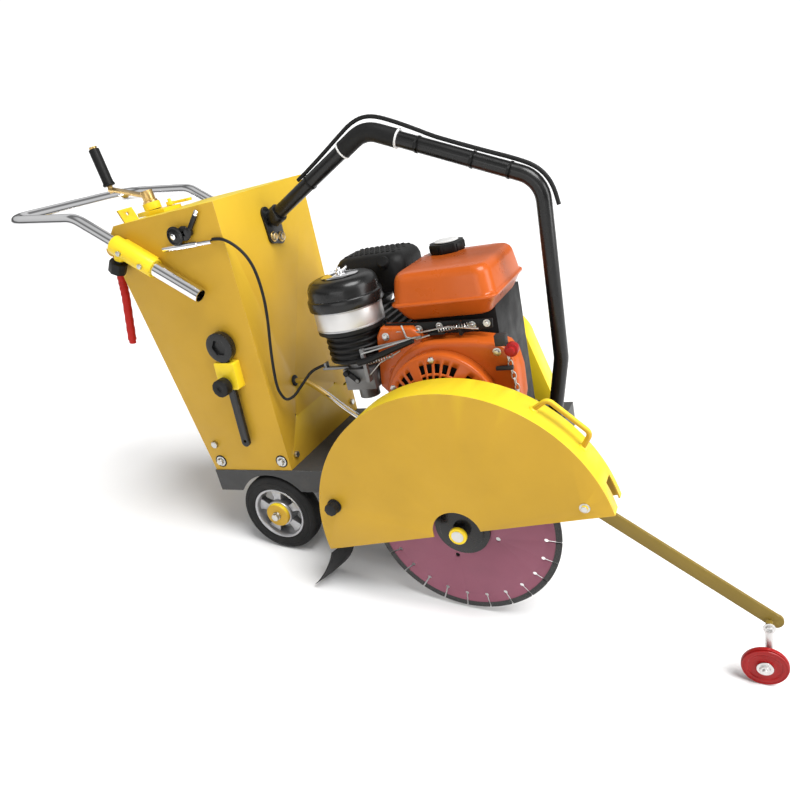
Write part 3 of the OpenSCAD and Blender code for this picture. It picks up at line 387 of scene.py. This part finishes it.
class Shape:
    """Collects the vertices and faces of one piece."""

    def __init__(self):
        self.verts = []
        self.faces = []

    def loft(self, rings, place=Matrix(), closed=False):
        """Skins equal rings of points and caps both ends; closed joins the last ring to the first instead."""
        base, count = len(self.verts), len(rings[0])
        for ring in rings:
            self.verts += [place @ Vector(p) for p in ring]
        pairs = list(zip(range(len(rings) - 1), range(1, len(rings))))
        if closed:
            pairs.append((len(rings) - 1, 0))
        for a, b in pairs:
            for k in range(count):
                n = (k + 1) % count
                self.faces.append((base + a * count + k, base + a * count + n,
                                   base + b * count + n, base + b * count + k))
        if not closed:
            last = base + (len(rings) - 1) * count
            self.faces.append(tuple(base + k for k in reversed(range(count))))
            self.faces.append(tuple(last + k for k in range(count)))
        return self

    def lathe(self, profile, place=Matrix(), n=64, closed=False):
        """Turns (radius, height) points about the local Z axis."""
        turn = [(math.cos(2 * math.pi * k / n), math.sin(2 * math.pi * k / n)) for k in range(n)]
        return self.loft([[(r * c, r * s, z) for c, s in turn] for r, z in profile], place, closed=closed)

    def tube(self, points, radius, n=16, closed=False):
        """Sweeps a circle along points; radius is a number or one for each point."""
        path = [Vector(p) for p in points]
        radii = radius if isinstance(radius, list) else [radius] * len(path)
        side = Vector((0.01, 1, 0.02))
        rings = []
        for i, p in enumerate(path):
            along = (path[min(i + 1, len(path) - 1)] - path[max(i - 1, 0)]).normalized()
            side = (side - along * side.dot(along)).normalized()
            other = along.cross(side)
            rings.append([p + radii[i] * (side * math.cos(2 * math.pi * k / n)
                                          + other * math.sin(2 * math.pi * k / n)) for k in range(n)])
        return self.loft(rings, closed=closed)

    def block(self, low, high, place=Matrix()):
        (x0, y0, z0), (x1, y1, z1) = low, high
        return self.loft([[(x0, y0, z), (x1, y0, z), (x1, y1, z), (x0, y1, z)] for z in (z0, z1)], place)


def facing(origin, direction):
    """Frame at origin whose local Z runs along direction."""
    return Matrix.Translation(origin) @ Vector(direction).to_track_quat("Z", "Y").to_matrix().to_4x4()


def across(x, z, y=0):
    """Frame at (x, y, z) whose local Z runs across the machine, along +Y."""
    return facing((x, y, z), (0, 1, 0))


def build(name, shape, key, body="chassis", bevel=0.0, subdiv=0, angle=SPLIT_FROM, replaces=()):
    """Makes the piece in the machine's place, finishes it and lets it ride on its body."""
    mesh = bpy.data.meshes.new(name)
    mesh.from_pydata([chassis @ v for v in shape.verts], [], shape.faces)
    work = bmesh.new()
    work.from_mesh(mesh)
    bmesh.ops.recalc_face_normals(work, faces=work.faces)
    for face in work.faces:
        face.smooth = True
    work.to_mesh(mesh)
    work.free()
    mesh.materials.append(finish[key])
    obj = bpy.data.objects.new(name, mesh)
    scene.collection.objects.link(obj)
    if bevel:
        add_bevel(obj, bevel)
    if subdiv:
        smoother = obj.modifiers.new("subdivide", "SUBSURF")
        smoother.levels = smoother.render_levels = subdiv
    split = obj.modifiers.new("split", "EDGE_SPLIT")
    split.split_angle = math.radians(angle)
    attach(obj, body)
    if replaces:
        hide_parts(*replaces)
    return obj


def round_rect(w, h, r, z, at):
    """Ring of points round a rectangle with round corners."""
    ring = []
    for corner, (sx, sy) in enumerate(((1, 1), (-1, 1), (-1, -1), (1, -1))):
        for k in range(CORNER_STEPS + 1):
            a = math.radians(90 * corner + 90 * k / CORNER_STEPS)
            ring.append((at[0] + sx * (w / 2 - r) + r * math.cos(a),
                         at[1] + sy * (h / 2 - r) + r * math.sin(a), z))
    return ring


def hexagon(r):
    return [(r * math.cos(math.radians(60 * k)), r * math.sin(math.radians(60 * k))) for k in range(6)]


def bolt(shape, origin, direction, r, head, washer=1.6):
    """Flanged hexagon bolt head with its top edge broken, standing on a face."""
    place = facing(origin, direction)
    shape.lathe([(r * 0.3, 0), (r * 1.45, 0), (r * 1.5, washer * 0.5), (r * 1.45, washer), (r * 0.3, washer)],
                place, n=32)
    shape.loft([[(x * k, y * k, z) for x, y in hexagon(r)]
                for k, z in ((1, washer), (1, washer + head * 0.85), (0.88, washer + head))], place)


# ---- Fuel tank: two pressed halves joined at a rolled seam ----
TANK_AT = (-13, 234)
CAP_PLACE = Matrix.Translation((-52, 310, 0))


def add_tank():
    lower = [(168, 172, 22, 395.2), (176, 180, 24, 396.4), (184, 188, 26, 400), (214, 218, 28, 427)]
    seam = [(223, 227, 30, 429.5), (224, 228, 30, 431.5), (223.4, 227.4, 30, 434), (220, 224, 30, 435.4)]
    upper = [(215.6, 219.6, 30, 436.4), (213.5, 217.5, 31, 441), (203, 207, 30, 474), (200, 204, 30, 480),
             (194, 198, 29, 486), (184, 188, 27, 490.4), (174, 178, 24, 491.9), (120, 124, 20, 492.2)]
    shape = Shape()
    shape.loft([round_rect(w, d, r, z, TANK_AT) for w, d, r, z in lower + seam + upper])
    shape.lathe([(24, 490), (24, 498), (23, 500), (21.5, 500), (21.5, 490)], CAP_PLACE, n=48)
    build("tank_shell", shape, "orange", replaces=("fuel_tank",), angle=50)
    disc = Shape().lathe([(26.4, 513.6), (26.4, 515.2), (24.5, 516), (10, 516.4), (0.5, 516.4), (0.5, 513.6)],
                         CAP_PLACE, n=48)
    build("cap_disc", disc, "white", body="tank_cap")
    ribs = Shape()
    for k in range(8):
        turn = Matrix.Rotation(math.radians(45 * (k + 0.5)), 4, "Z")
        ribs.block((35.4, -9, 495), (38.2, 9, 508.5), CAP_PLACE @ turn)
    build("cap_ribs", ribs, "plastic", body="tank_cap", bevel=1.0)


# ---- Air cleaner: cover, disc, wing nut, rims of the bright band and ribs below it ----
CLEANER_PLACE = Matrix.Translation((-225, 140, 0))
BAND_LOW, BAND_HIGH = 404, 446
LOWEST_RIB, RIB_PITCH = 336.5, 13


def add_air_cleaner():
    place = CLEANER_PLACE
    profile = [(66, 446.5), (77.6, 446.5), (78.6, 448), (78.6, 466), (77.4, 468), (74.4, 469), (74.2, 471),
               (73.6, 484), (71.5, 492), (66.5, 499), (58, 503), (48, 504.6), (30, 505), (0.5, 505)]
    build("cleaner_cover", Shape().lathe(profile, place, n=96), "black_paint",
          replaces=("air_cleaner_cover",), angle=50)
    disc = Shape().lathe([(0.5, 505.2), (37, 505.2), (39.4, 506.4), (37, 508), (16, 509.6), (0.5, 509.8)],
                         place, n=64)
    build("cleaner_disc", disc, "chrome", angle=50)
    nut = Shape().lathe([(0.5, 509.8), (8, 509.8), (7, 516), (4.5, 518), (4.5, 521), (0.5, 521)], place, n=32)
    wing = [(4, 511), (9, 510.4), (17, 516), (18.6, 520.4), (15.5, 521), (9.5, 517.5), (4, 516)]
    turn = Matrix.Rotation(math.radians(25), 4, "Z")
    for side in (-1, 1):
        nut.loft([[(side * x, y, z) for x, z in wing] for y in (-1.6, 1.6)], place @ turn)
    build("wing_nut", nut, "chrome", bevel=0.5)
    low, high = BAND_LOW, BAND_HIGH
    lip = Shape().lathe([(71.6, low + 0.4), (73, low + 1), (73, low + 3.4), (71.8, low + 4)],
                        place, n=96, closed=True)
    lip.lathe([(71.6, high - 4), (73, high - 3), (73, high - 0.6), (71.8, high)], place, n=96, closed=True)
    build("band_rims", lip, "rim", angle=60)
    ribs = Shape()
    for k in range(5):
        z = LOWEST_RIB + k * RIB_PITCH
        ribs.lathe([(57.5, z - 3.4), (60.2, z - 2.4), (60.9, z), (60.2, z + 2.4), (57.5, z + 3.4)],
                   place, n=96, closed=True)
    build("cleaner_ribs", ribs, "plastic", angle=60)


# ---- Throttle cable and the hose along the lifting bar, lengths in metres ----
CABLE_LENGTH = 0.540
CABLE_RADIUS = 3.2
HOSE_LENGTH = 0.642
HOSE_RADIUS = 4.0
CABLE_ROUTE = [(-446, 57, 626), (-420, 57, 622), (-396, 60, 604), (-378, 62, 578), (-370, 64, 545),
               (-371, 67, 497), (-380, 70, 446), (-395, 72, 384), (-404, 73, 338), (-409, 74, 302),
               (-409, 77, 278), (-402, 83, 260), (-385, 91, 264), (-364, 99, 284), (-334, 108, 312),
               (-304, 118, 322)]
HOSE_ROUTE = [(-328, 238, 692.5), (-290, 238, 712.5), (-248, 238, 736), (-210, 238, 758),
              (-179, 238, 774.5), (-150, 238, 781.5), (-121, 238, 777.5), (-83, 238, 761), (-42, 238, 739.5),
              (-2, 238, 718), (78, 238, 682), (138, 238, 656), (173, 238, 637), (193, 238, 616),
              (204, 238, 592), (210, 238, 562)]


def smooth(route, steps=4):
    """Catmull-Rom curve through the route's points."""
    points = [Vector(p) for p in route]
    last = len(points) - 1
    curve = []
    for i in range(last):
        a, b, c, d = points[max(i - 1, 0)], points[i], points[i + 1], points[min(i + 2, last)]
        for j in range(steps):
            t = j / steps
            curve.append(0.5 * (2 * b + (c - a) * t + (2 * a - 5 * b + 4 * c - d) * t * t
                                + (3 * b - a - 3 * c + d) * t * t * t))
    return curve + [points[last]]


def add_cords():
    for name, route, radius, node, length, far_end, stiffness, lay in (
            ("cable_cord", CABLE_ROUTE, CABLE_RADIUS, "throttle_cable", CABLE_LENGTH, "object", "stiff",
             "hanging"),
            ("hose_cord", HOSE_ROUTE, HOSE_RADIUS, "lift_hose", HOSE_LENGTH, "bare", "medium", "taut")):
        line = smooth(route)
        cord = build(name, Shape().tube(line, radius, 14), "rubber", angle=60, replaces=(node,))


# ---- Rear wheels: tyre, five-spoke rim, hub cap and washer ----
BORE = 10.4
SPOKES = 5


def add_rear_wheel(side, y0, y1, out):
    """Wheel between y0 and y1 with its cap on the face turned to out, -1 or 1."""
    hub = chassis.inverted() @ Vector(joint[f"rear_wheel_{side}_spin"]["pos_m"])
    mid = (y0 + y1) / 2
    half = (y1 - y0) / 2
    place = across(hub.x, hub.z) @ Matrix.Translation((0, 0, mid))
    body = f"rear_wheel_{side}"
    shoulder = [(68.3, half - 3), (70, half - 1.6), (76, half - 0.4), (84, half), (85, half - 0.8),
                (87, half - 0.8), (88, half), (93, half - 1.2), (97, half - 4), (99.2, half - 8),
                (99.8, half - 11), (98.4, half - 12), (98.4, half - 13.6), (99.9, half - 14.6)]
    mirror = [(r, -h) for r, h in reversed(shoulder)]
    tyre = Shape().lathe(shoulder + [(99.9, 0)] + mirror, place, n=96, closed=True)
    build(f"tyre_{side}", tyre, "tyre", body=body, replaces=(f"rear_tyre_{side}",), angle=50)
    rim = Shape()
    ring = [(67.9, half - 2.4), (66, half - 1.2), (62, half - 3), (59.5, half - 9), (59, 0)]
    loop = ring + [(r, -h) for r, h in reversed(ring[:-1])] + [(67.9, 0)]
    rim.lathe(loop, place, n=96, closed=True)
    rim.lathe([(BORE, -half + 3), (33, -half + 3), (34, -half + 5), (34, half - 5), (33, half - 3),
               (BORE, half - 3)], place, n=64, closed=True)
    for k in range(SPOKES):
        turn = Matrix.Rotation(math.radians(360 / SPOKES * k + 18), 4, "Z")
        rim.loft([[(r, -w, -t), (r, w, -t), (r, w, t), (r, w * 0.6, t + 2.4), (r, -w * 0.6, t + 2.4),
                   (r, -w, t)]
                  for r, w, t in ((31, 9.5, 12), (40, 10, 9), (52, 13.5, 8), (61, 17.5, 10))], place @ turn)
    build(f"rim_{side}", rim, "rim", body=body, bevel=0.8, replaces=(f"rear_rim_{side}",))
    face = facing((hub.x, y0 if out < 0 else y1, hub.z), (0, out, 0))
    cap = Shape().lathe([(BORE, -3), (30, -3), (30, 4), (29, 5.8), (27.5, 6), (BORE, 6)], face, n=64,
                        closed=True)
    build(f"hub_cap_{side}", cap, "yellow", body=body, angle=50)
    washer = Shape().lathe([(0.5, 6.2), (10, 6.2), (10, 8), (0.5, 8)], face, n=32)
    build(f"hub_washer_{side}", washer, "cast", body=body)


# ---- Lifting bar: collars at the sleeve's ends and ties round the bar and its hose ----
LIFT_Y = 238
TIE_POINTS = 40
TIE_RADIUS = 15.8
TIE_PEAK = 8.6  # how much further a tie reaches over the hose


def add_lift_details():
    collars = Shape()
    for x, z, along in ((-207, 731.3, (-262, 0, -132)), (-84, 730.8, (334, 0, -148))):
        place = facing((x, LIFT_Y, z), Vector(along).normalized())
        collars.lathe([(15.3, -1), (18.6, -1), (19.2, 0.6), (18.6, 2.4), (15.3, 2.4)], place, n=48,
                      closed=True)
    build("sleeve_collars", collars, "white", angle=50)
    ties = Shape()
    for x, z, slope in ((-300, 684.4, 26.7), (-44, 713, -23.9), (60, 667, -23.9), (128, 636.8, -23.9)):
        axis = (math.cos(math.radians(slope)), 0, math.sin(math.radians(slope)))
        place = facing((x, LIFT_Y, z), axis)
        ring = []
        for k in range(TIE_POINTS):
            a = 2 * math.pi * k / TIE_POINTS
            reach = TIE_RADIUS + TIE_PEAK * max(0.0, math.cos(a)) ** 5
            ring.append((reach * math.cos(a), reach * math.sin(a)))
        spine = place.to_3x3() @ Vector((1, 0, 0))
        turn = place @ Matrix.Rotation(0 if spine.z > 0 else math.pi, 4, "Z")
        ties.loft([[(x2 * k, y2 * k, z2) for x2, y2 in ring]
                   for k, z2 in ((1, -2), (1.04, -2), (1.04, 2), (1, 2))], turn, closed=True)
    build("hose_ties", ties, "plastic", angle=50)


# ---- Console: pipe grommet, lower bolts on rubber pads, bracket bolts ----
CONSOLE_BOLTS = ((-628, 114), (-450, 114))
CONSOLE_Y = 61.6


def add_console_details():
    ring = Shape().lathe([(6.8, -3), (9, -3), (9, 3), (12.5, 3), (13, 4.5), (11, 6.5), (6.8, 6.5)],
                         facing((-430.6, 166, 272), (1, 0, 0)), n=48, closed=True)
    build("pipe_grommet", ring, "rubber", angle=50)
    bolts = Shape()
    pads = Shape()
    for x, z in CONSOLE_BOLTS:
        bolt(bolts, (x, CONSOLE_Y, z), (0, -1, 0), 8.6, 7)
        pads.lathe([(9, -0.2), (15.5, -0.2), (15.5, 1.2), (9, 1.2)],
                   facing((x, CONSOLE_Y + 0.3, z), (0, -1, 0)), n=40, closed=True)
    build("console_bolts", bolts, "steel", bevel=0.4)
    build("bolt_pads", pads, "rubber")
    caps = Shape()
    for y, z in ((226, 590), (254, 584)):
        bolt(caps, (-417.9, y, z), (1, 0, 0), 7.6, 6)
    build("bracket_bolts", caps, "brass", bevel=0.4)


# ---- Red grip on the hand lever, tips and discs of the throttle, collar of the crank ----
GRIP_RADIUS = 9.6
GRIP_END_RADIUS = 7.0
GRIP_RIPPLE = 0.5
THROTTLE_X, THROTTLE_Z = -531, 645
SCREW_TILT = math.radians(6)


def add_controls():
    top, bend, low = Vector((-753, 87, 588)), Vector((-764, 87, 530)), Vector((-795, 87, 424))
    points, radii = [], []
    steps = 40
    for k in range(steps + 1):
        t = k / steps
        points.append(top.lerp(bend, t * 2) if t < 0.5 else bend.lerp(low, t * 2 - 1))
        radii.append(GRIP_RADIUS + GRIP_RIPPLE * math.sin(t * 60) if 0 < k < steps else GRIP_END_RADIUS)
    build("lever_grip", Shape().tube(points, radii, 20), "red_rubber", body="belt_lever", angle=60)
    hub = across(THROTTLE_X, THROTTLE_Z, 48.5)
    disc = Shape().lathe([(0.5, -2), (18, -2), (19.6, -0.8), (19.6, 1.5), (0.5, 1.5)], hub, n=48)
    disc.lathe([(15.5, -3.2), (17, -3.2), (17, -1.8), (15.5, -1.8)], hub, n=48, closed=True)
    disc.lathe([(0.5, -1), (14, -1), (15, 0), (15, 3), (0.5, 3)], across(-508, 647, 51), n=40)
    build("throttle_disc", disc, "black_paint", body="throttle", angle=50)
    centre = Shape().lathe([(0.5, -8), (4, -8), (6, -6.8), (6, -2), (0.5, -2)],
                           across(THROTTLE_X, THROTTLE_Z, 49), n=32)
    tip = facing((-466, 53, 678), (0.707, 0, 0.707))
    centre.lathe([(0.5, 0), (4.8, 0), (5.2, 3), (4.8, 9), (3, 10.6), (0.5, 10.8)], tip, n=32)
    build("throttle_bright", centre, "chrome", body="throttle", angle=50)
    screw_axis = (-math.sin(SCREW_TILT), 0, math.cos(SCREW_TILT))
    collar = Shape().lathe([(14.6, 14), (17, 15), (17, 22), (14.6, 23)],
                           facing((-693, 190, 694), screw_axis), n=40, closed=True)
    build("crank_collar", collar, "brass", body="depth_crank", angle=50)


# ---- Guard: arbor ring, front bolt, curved rubber flap and weld beads of the handle ----
FLAP_NEAR = [(-300, -50), (-310, -72), (-327, -97), (-346, -120), (-362, -136), (-372, -143)]
FLAP_FAR = [(-284, -50), (-290, -74), (-302, -100), (-322, -124), (-345, -142), (-366, -148)]
FLAP_FROM_Y, FLAP_WIDTH = -52, 76
FLAP_BELLY = 3
FLAP_STEPS = 6
HANDLE_ENDS = (36, 56)  # degrees above the deck line
HANDLE_REACH = 313
GUARD_X, GUARD_Z = 6, -1


def flap_ring(near, far):
    """Section through the flap, from the near edge to the far one and back along its rear face."""
    (x0, z0), (x1, z1) = near, far
    row = []
    for k in range(FLAP_STEPS + 1):
        t = k / FLAP_STEPS
        sag = FLAP_BELLY * math.sin(math.pi * t)
        row.append((x0 + (x1 - x0) * t, FLAP_FROM_Y + FLAP_WIDTH * t, z0 + (z1 - z0) * t - sag))
    return row + [(x + 4.6, y, z + 1.6) for x, y, z in reversed(row)]


def add_guard_details():
    ring = Shape().lathe([(12.8, -37.5), (17.5, -37.5), (18.6, -36), (18.6, -30), (17.5, -28.4),
                          (12.8, -28.4)], across(0, 0), n=48, closed=True)
    build("arbor_ring", ring, "yellow_light", body="arbor", angle=50)
    front = Shape()
    bolt(front, (260, -45.2, 83), (0, -1, 0), 6.6, 4.6, 1.8)
    build("guard_bolt", front, "steel", body="guard", bevel=0.4)
    flap = Shape().loft([flap_ring(near, far) for near, far in zip(FLAP_NEAR, FLAP_FAR)])
    build("rubber_flap", flap, "rubber", body="guard", bevel=0.8, subdiv=1, angle=50, replaces=("mud_flap",))
    beads = Shape()
    for angle in HANDLE_ENDS:
        a = math.radians(angle)
        at = (GUARD_X + HANDLE_REACH * math.cos(a), -4, GUARD_Z + HANDLE_REACH * math.sin(a))
        beads.lathe([(4, -0.4), (8.6, -0.4), (8, 1.2), (6.4, 2.6), (4, 3.4)],
                    facing(at, (math.cos(a), 0, math.sin(a))), n=24, closed=True)
    build("handle_welds", beads, "yellow_light", body="guard", angle=60)


# ---- Engine covers: fan shroud, its side plate, slotted starter cover and the fan behind it ----
SHAFT_X, SHAFT_Z = -28, 228
SHROUD_ARC_Z = 232
SHROUD_ARC_R = 131
COVER_POINTS = 216
COVER_PROFILE = [(118, 95.6), (118, 72), (116.5, 70), (112, 68.8), (101, 65.5), (84, 59.5), (79, 57.6),
                 (58, 50), (54, 48), (48, 46.8), (20, 46.4)]  # radius, place across the machine
SLOTTED_ROWS = (4, 6)  # rows of the profile that are cut through
COVER_THICK = 2.4
FAN_BLADES = 24


def pressed_cover(outline, centre, steps):
    """Outline in x and z, drawn in towards the centre by a factor at each place across the machine."""
    cx, cz = centre
    return [[(cx + (x - cx) * k, y, cz + (z - cz) * k) for x, z in outline] for k, y in steps]


def add_shroud():
    arc = [math.radians(a) for a in range(200, 89, -5)]
    outline = [(SHAFT_X + SHROUD_ARC_R * math.cos(a), SHROUD_ARC_Z + SHROUD_ARC_R * math.sin(a)) for a in arc]
    outline += [(10, 362), (50, 359), (90, 352), (111, 342), (124, 322), (129, 290), (128, 235), (112, 182),
                (88, 150), (60, 108), (-118, 108), (-140, 150)]
    steps = ((1, 149.5), (1, 106), (0.992, 101), (0.975, 97.6), (0.95, 96.4), (0.90, 96.2))
    shape = Shape().loft(pressed_cover(outline, (-12, 235), steps))
    build("shroud_shell", shape, "orange", replaces=("fan_shroud",), angle=44)
    outline = [(-148, 236), (-176, 268), (-160, 378), (-148, 394), (-80, 390), (-62, 376), (-58, 240)]
    steps = ((1, 148.5), (1, 118), (0.97, 113.6), (0.93, 112.4))
    plate = Shape().loft(pressed_cover(outline, (-110, 316), steps))
    plate.lathe([(0.5, 0), (13, 0), (12, 3), (8, 3.4), (7, 2), (0.5, 2)],
                facing((-136, 112.5, 300), (0, -1, 0)), n=32)
    build("shroud_plate", plate, "orange", angle=44)


def add_starter_cover():
    cover = Shape()
    count = COVER_POINTS
    turns = [2 * math.pi * k / count for k in range(count)]
    for r, y in COVER_PROFILE:
        cover.verts += [Vector((SHAFT_X + r * math.cos(a), y, SHAFT_Z + r * math.sin(a))) for a in turns]
    last = len(COVER_PROFILE) - 1
    for row in range(last):
        base = row * count
        for k in range(count):
            n = (k + 1) % count
            # six groups of five slots round the cover, four steps open and two closed
            if not (row in SLOTTED_ROWS and k % 6 < 4 and k % 36 < 30):
                cover.faces.append((base + k, base + n, base + count + n, base + count + k))
    cover.faces.append(tuple(last * count + k for k in range(count)))
    shell = build("starter_cover", cover, "orange", replaces=("recoil_cover",), angle=50)
    skin = shell.modifiers.new("thick", "SOLIDIFY")
    skin.thickness = COVER_THICK * MM
    skin.offset = -1
    shaft = across(SHAFT_X, SHAFT_Z)
    fan = Shape().lathe([(0.5, 74), (110, 84), (110, 88), (0.5, 88)], shaft, n=64)
    blade = [(30, 66), (98, 78), (98, 86), (30, 86)]
    for k in range(FAN_BLADES):
        turn = Matrix.Rotation(2 * math.pi * k / FAN_BLADES, 4, "Z")
        fan.loft([[(r, side, h) for r, h in blade] for side in (-1, 1)], shaft @ turn)
    build("fan_wheel", fan, "plastic", angle=40)


# ---- Muffler: shield with its tail and neck, studs on top and lugs at its side ----
MUFFLER_X, MUFFLER_Y = -220, 310
STUD_ROWS, STUD_COLUMNS = 6, 10
STUD_Z = 515


def add_muffler():
    shape = Shape()
    shape.loft([round_rect(w, d, r, z, (MUFFLER_X, MUFFLER_Y)) for w, d, r, z in (
        (150, 110, 18, 430.6), (164, 124, 22, 433), (169, 129, 24, 445), (169.6, 129.6, 26, 490),
        (164, 124, 28, 501), (152, 112, 28, 509), (132, 92, 26, 513.6), (100, 64, 20, 515.2))])
    shape.lathe([(10, 374.4), (13, 374.4), (13, 398), (10, 398)], across(-225, 475), n=32, closed=True)
    shape.lathe([(0.5, 405), (14, 405), (14, 433), (0.5, 433)], Matrix.Translation((-170, 280, 0)), n=32)
    build("muffler_shield", shape, "mesh_black", replaces=("muffler",), angle=50)
    studs = Shape()
    for i in range(STUD_COLUMNS):
        for j in range(STUD_ROWS):
            x, y = -279 + i * 13 + (j % 2) * 6, 276 + j * 13.5
            edge = max(abs(x - MUFFLER_X) / 66, abs(y - MUFFLER_Y) / 46)
            sink = 9 * max(0.0, edge - 0.72)  # follows the shield's rounded shoulder
            studs.lathe([(0.5, -3), (5.4, -3), (4.8, 1.2), (3.2, 1.9), (0.5, 2)],
                        Matrix.Translation((x, y, STUD_Z - sink)), n=6)
    build("muffler_texture", studs, "mesh_black", angle=30)
    lug = Shape().lathe([(0.5, -4), (13, -4), (13, 5), (11, 8), (0.5, 9)],
                        facing((-176, 247, 497), (0.1, -0.8, 0.6)), n=40)
    lug.lathe([(0.5, -4), (9, -4), (9, 4), (7.4, 6), (0.5, 6)],
              facing((-262, 246, 486), (-0.1, -0.9, 0.4)), n=32)
    build("muffler_lugs", lug, "mesh_black", angle=50)


# ---- Roller end of the guide arm ----
ROLLER_X, ROLLER_Z = 543, -256.7
STEM_X, STEM_Y = 550, -1.4
STEM_TOP = 78  # height of the stem's upper end over the roller's axis


def add_guide_details():
    fittings = Shape()
    fittings.lathe([(0.5, 14), (6.6, 14), (7, 16), (7, STEM_TOP - 2), (6.6, STEM_TOP), (0.5, STEM_TOP)],
                   Matrix.Translation((STEM_X, STEM_Y, ROLLER_Z)), n=32)
    fittings.lathe([(0.5, 0), (13, 0), (13.6, 1), (13, 2.2), (0.5, 2.2)],
                   facing((ROLLER_X, -24.4, ROLLER_Z), (0, -1, 0)), n=32)
    end = (ROLLER_X, -26.4, ROLLER_Z)
    bolt(fittings, end, (0, -1, 0), 9.6, 5.4, 1.2)
    fittings.lathe([(0.5, 0), (5, 0), (5, 9.4), (4, 10.4), (0.5, 10.4)], facing(end, (0, -1, 0)), n=24)
    bolt(fittings, (STEM_X, -7.6, ROLLER_Z + STEM_TOP), (0, -1, 0), 7.4, 5, 1.4)
    build("roller_fittings", fittings, "satin", body="guide", bevel=0.3, angle=44)
    axle = across(ROLLER_X, ROLLER_Z)
    rings = Shape().lathe([(36, -24.6), (38.4, -24.6), (39, -23.4), (36, -23.4)], axle, n=64, closed=True)
    rings.lathe([(14, -24.7), (16, -24.7), (16, -23.6), (14, -23.6)], axle, n=48, closed=True)
    build("roller_rings", rings, "red", body="guide_roller", angle=50)


# ---- Engine trim: governor, spark lead, bolts, control plate, chain ----
PLATE_Y = 128
CHAIN_LINKS = 9
CHAIN_PITCH = 12
LINK_HALF_WIDTH, LINK_HALF_LENGTH = 4.4, 7.6


def spring(shape, a, b, coil_r, wire_r, turns, n=14):
    """Coil spring from a to b."""
    a, b = Vector(a), Vector(b)
    along = (b - a).normalized()
    side = along.cross(Vector((0.1, 1, 0.2))).normalized()
    other = along.cross(side)
    points = []
    for k in range(turns * n + 1):
        t = k / (turns * n)
        turn = 2 * math.pi * k / n
        points.append(a.lerp(b, t) + coil_r * (side * math.cos(turn) + other * math.sin(turn)))
    shape.tube(points, wire_r, 6)


def add_governor():
    links = Shape()
    links.tube([(-188, 86, 352), (-120, 84, 366), (-60, 86, 378)], 2.2, 10)
    links.tube([(-186, 90, 300), (-150, 88, 330), (-100, 88, 352)], 1.6, 10)
    spring(links, (-176, 86, 332), (-118, 86, 344), 4.2, 0.9, 9)
    build("governor_links", links, "steel", angle=60)
    arm = Shape().tube([(-196, 80, 336), (-170, 78, 340), (-120, 80, 356), (-66, 84, 372)],
                       [7, 6.4, 6.4, 5], 16)
    build("governor_arm", arm, "plastic", angle=60)


def add_spark_lead():
    lead = Shape()
    lead.tube([(-238, 240, 392), (-232, 214, 402), (-200, 186, 404), (-160, 168, 392), (-140, 156, 360)],
              3.6, 12)
    lead.lathe([(0.5, 0), (11, 0), (12, 4), (10, 20), (6, 26), (4, 34), (0.5, 34)],
               facing((-236, 262, 378), (-0.1, -0.8, 0.6)), n=24)
    build("spark_lead", lead, "rubber", angle=60)


def add_shroud_bolts():
    bolts = Shape()
    for x, y, z in ((-144, 112.4, 264), (-138, 112.4, 376), (96, 96.2, 334), (112, 96.2, 250),
                    (70, 96.2, 150)):
        bolt(bolts, (x, y, z), (0, -1, 0), 5.6, 4.4, 1.4)
    build("shroud_bolts", bolts, "steel", bevel=0.3)


def add_control_plate():
    plate = Shape()
    outline = [(-140, 366), (-50, 370), (30, 366), (84, 372), (86, 390), (-60, 394), (-144, 398)]
    plate.loft([[(x, y, z) for x, z in outline] for y in (PLATE_Y, PLATE_Y + 4)])
    plate.block((-40, 108, 372), (-8, 130, 376))
    plate.block((20, 112, 366), (26, 130, 392))
    build("control_plate", plate, "alu_black", bevel=1.0)
    controls = Shape()
    for x, z, r in ((-118, 384, 5), (-70, 380, 6.4), (-24, 384, 5), (44, 380, 5.6), (74, 382, 5)):
        bolt(controls, (x, PLATE_Y, z), (0, -1, 0), r, 5, 1.4)
    controls.tube([(-150, 118, 376), (-110, 114, 384), (-60, 116, 378), (0, 112, 386), (60, 116, 376)],
                  2.0, 10)
    controls.tube([(-96, 108, 398), (-92, 110, 372), (-70, 112, 366), (-40, 112, 372)], 2.2, 10)
    spring(controls, (-20, 112, 380), (40, 114, 386), 4.0, 0.9, 11)
    build("control_levers", controls, "steel", angle=50)


def add_stop_switch_trim():
    chain = Shape()
    for k in range(CHAIN_LINKS):
        at = Vector((118 + 1.5 * k, 92 + (k % 2), 322 - k * CHAIN_PITCH))
        wide = Vector((LINK_HALF_WIDTH, 0, 0)) if k % 2 else Vector((0, LINK_HALF_WIDTH, 0))
        turns = [2 * math.pi * q / 16 for q in range(16)]
        link = [at + wide * math.cos(a) + Vector((0, 0, LINK_HALF_LENGTH)) * math.sin(a) for a in turns]
        chain.tube(link, 1.3, 8, closed=True)
    build("stop_chain", chain, "steel", angle=60)
    tabs = Shape()
    tabs.block((92, 84, 300), (126, 92, 308))
    tabs.block((100, 78, 350), (122, 94, 372))
    build("switch_bracket", tabs, "cast", bevel=1.5)


add_cords()
add_tank()
add_air_cleaner()
add_rear_wheel("right", 58, 103, -1)
add_rear_wheel("left", 363, 408, 1)
add_lift_details()
add_console_details()
add_controls()
add_guard_details()
add_governor()
add_spark_lead()
add_shroud_bolts()
add_control_plate()
add_stop_switch_trim()
add_shroud()
add_starter_cover()
add_muffler()
add_guide_details()
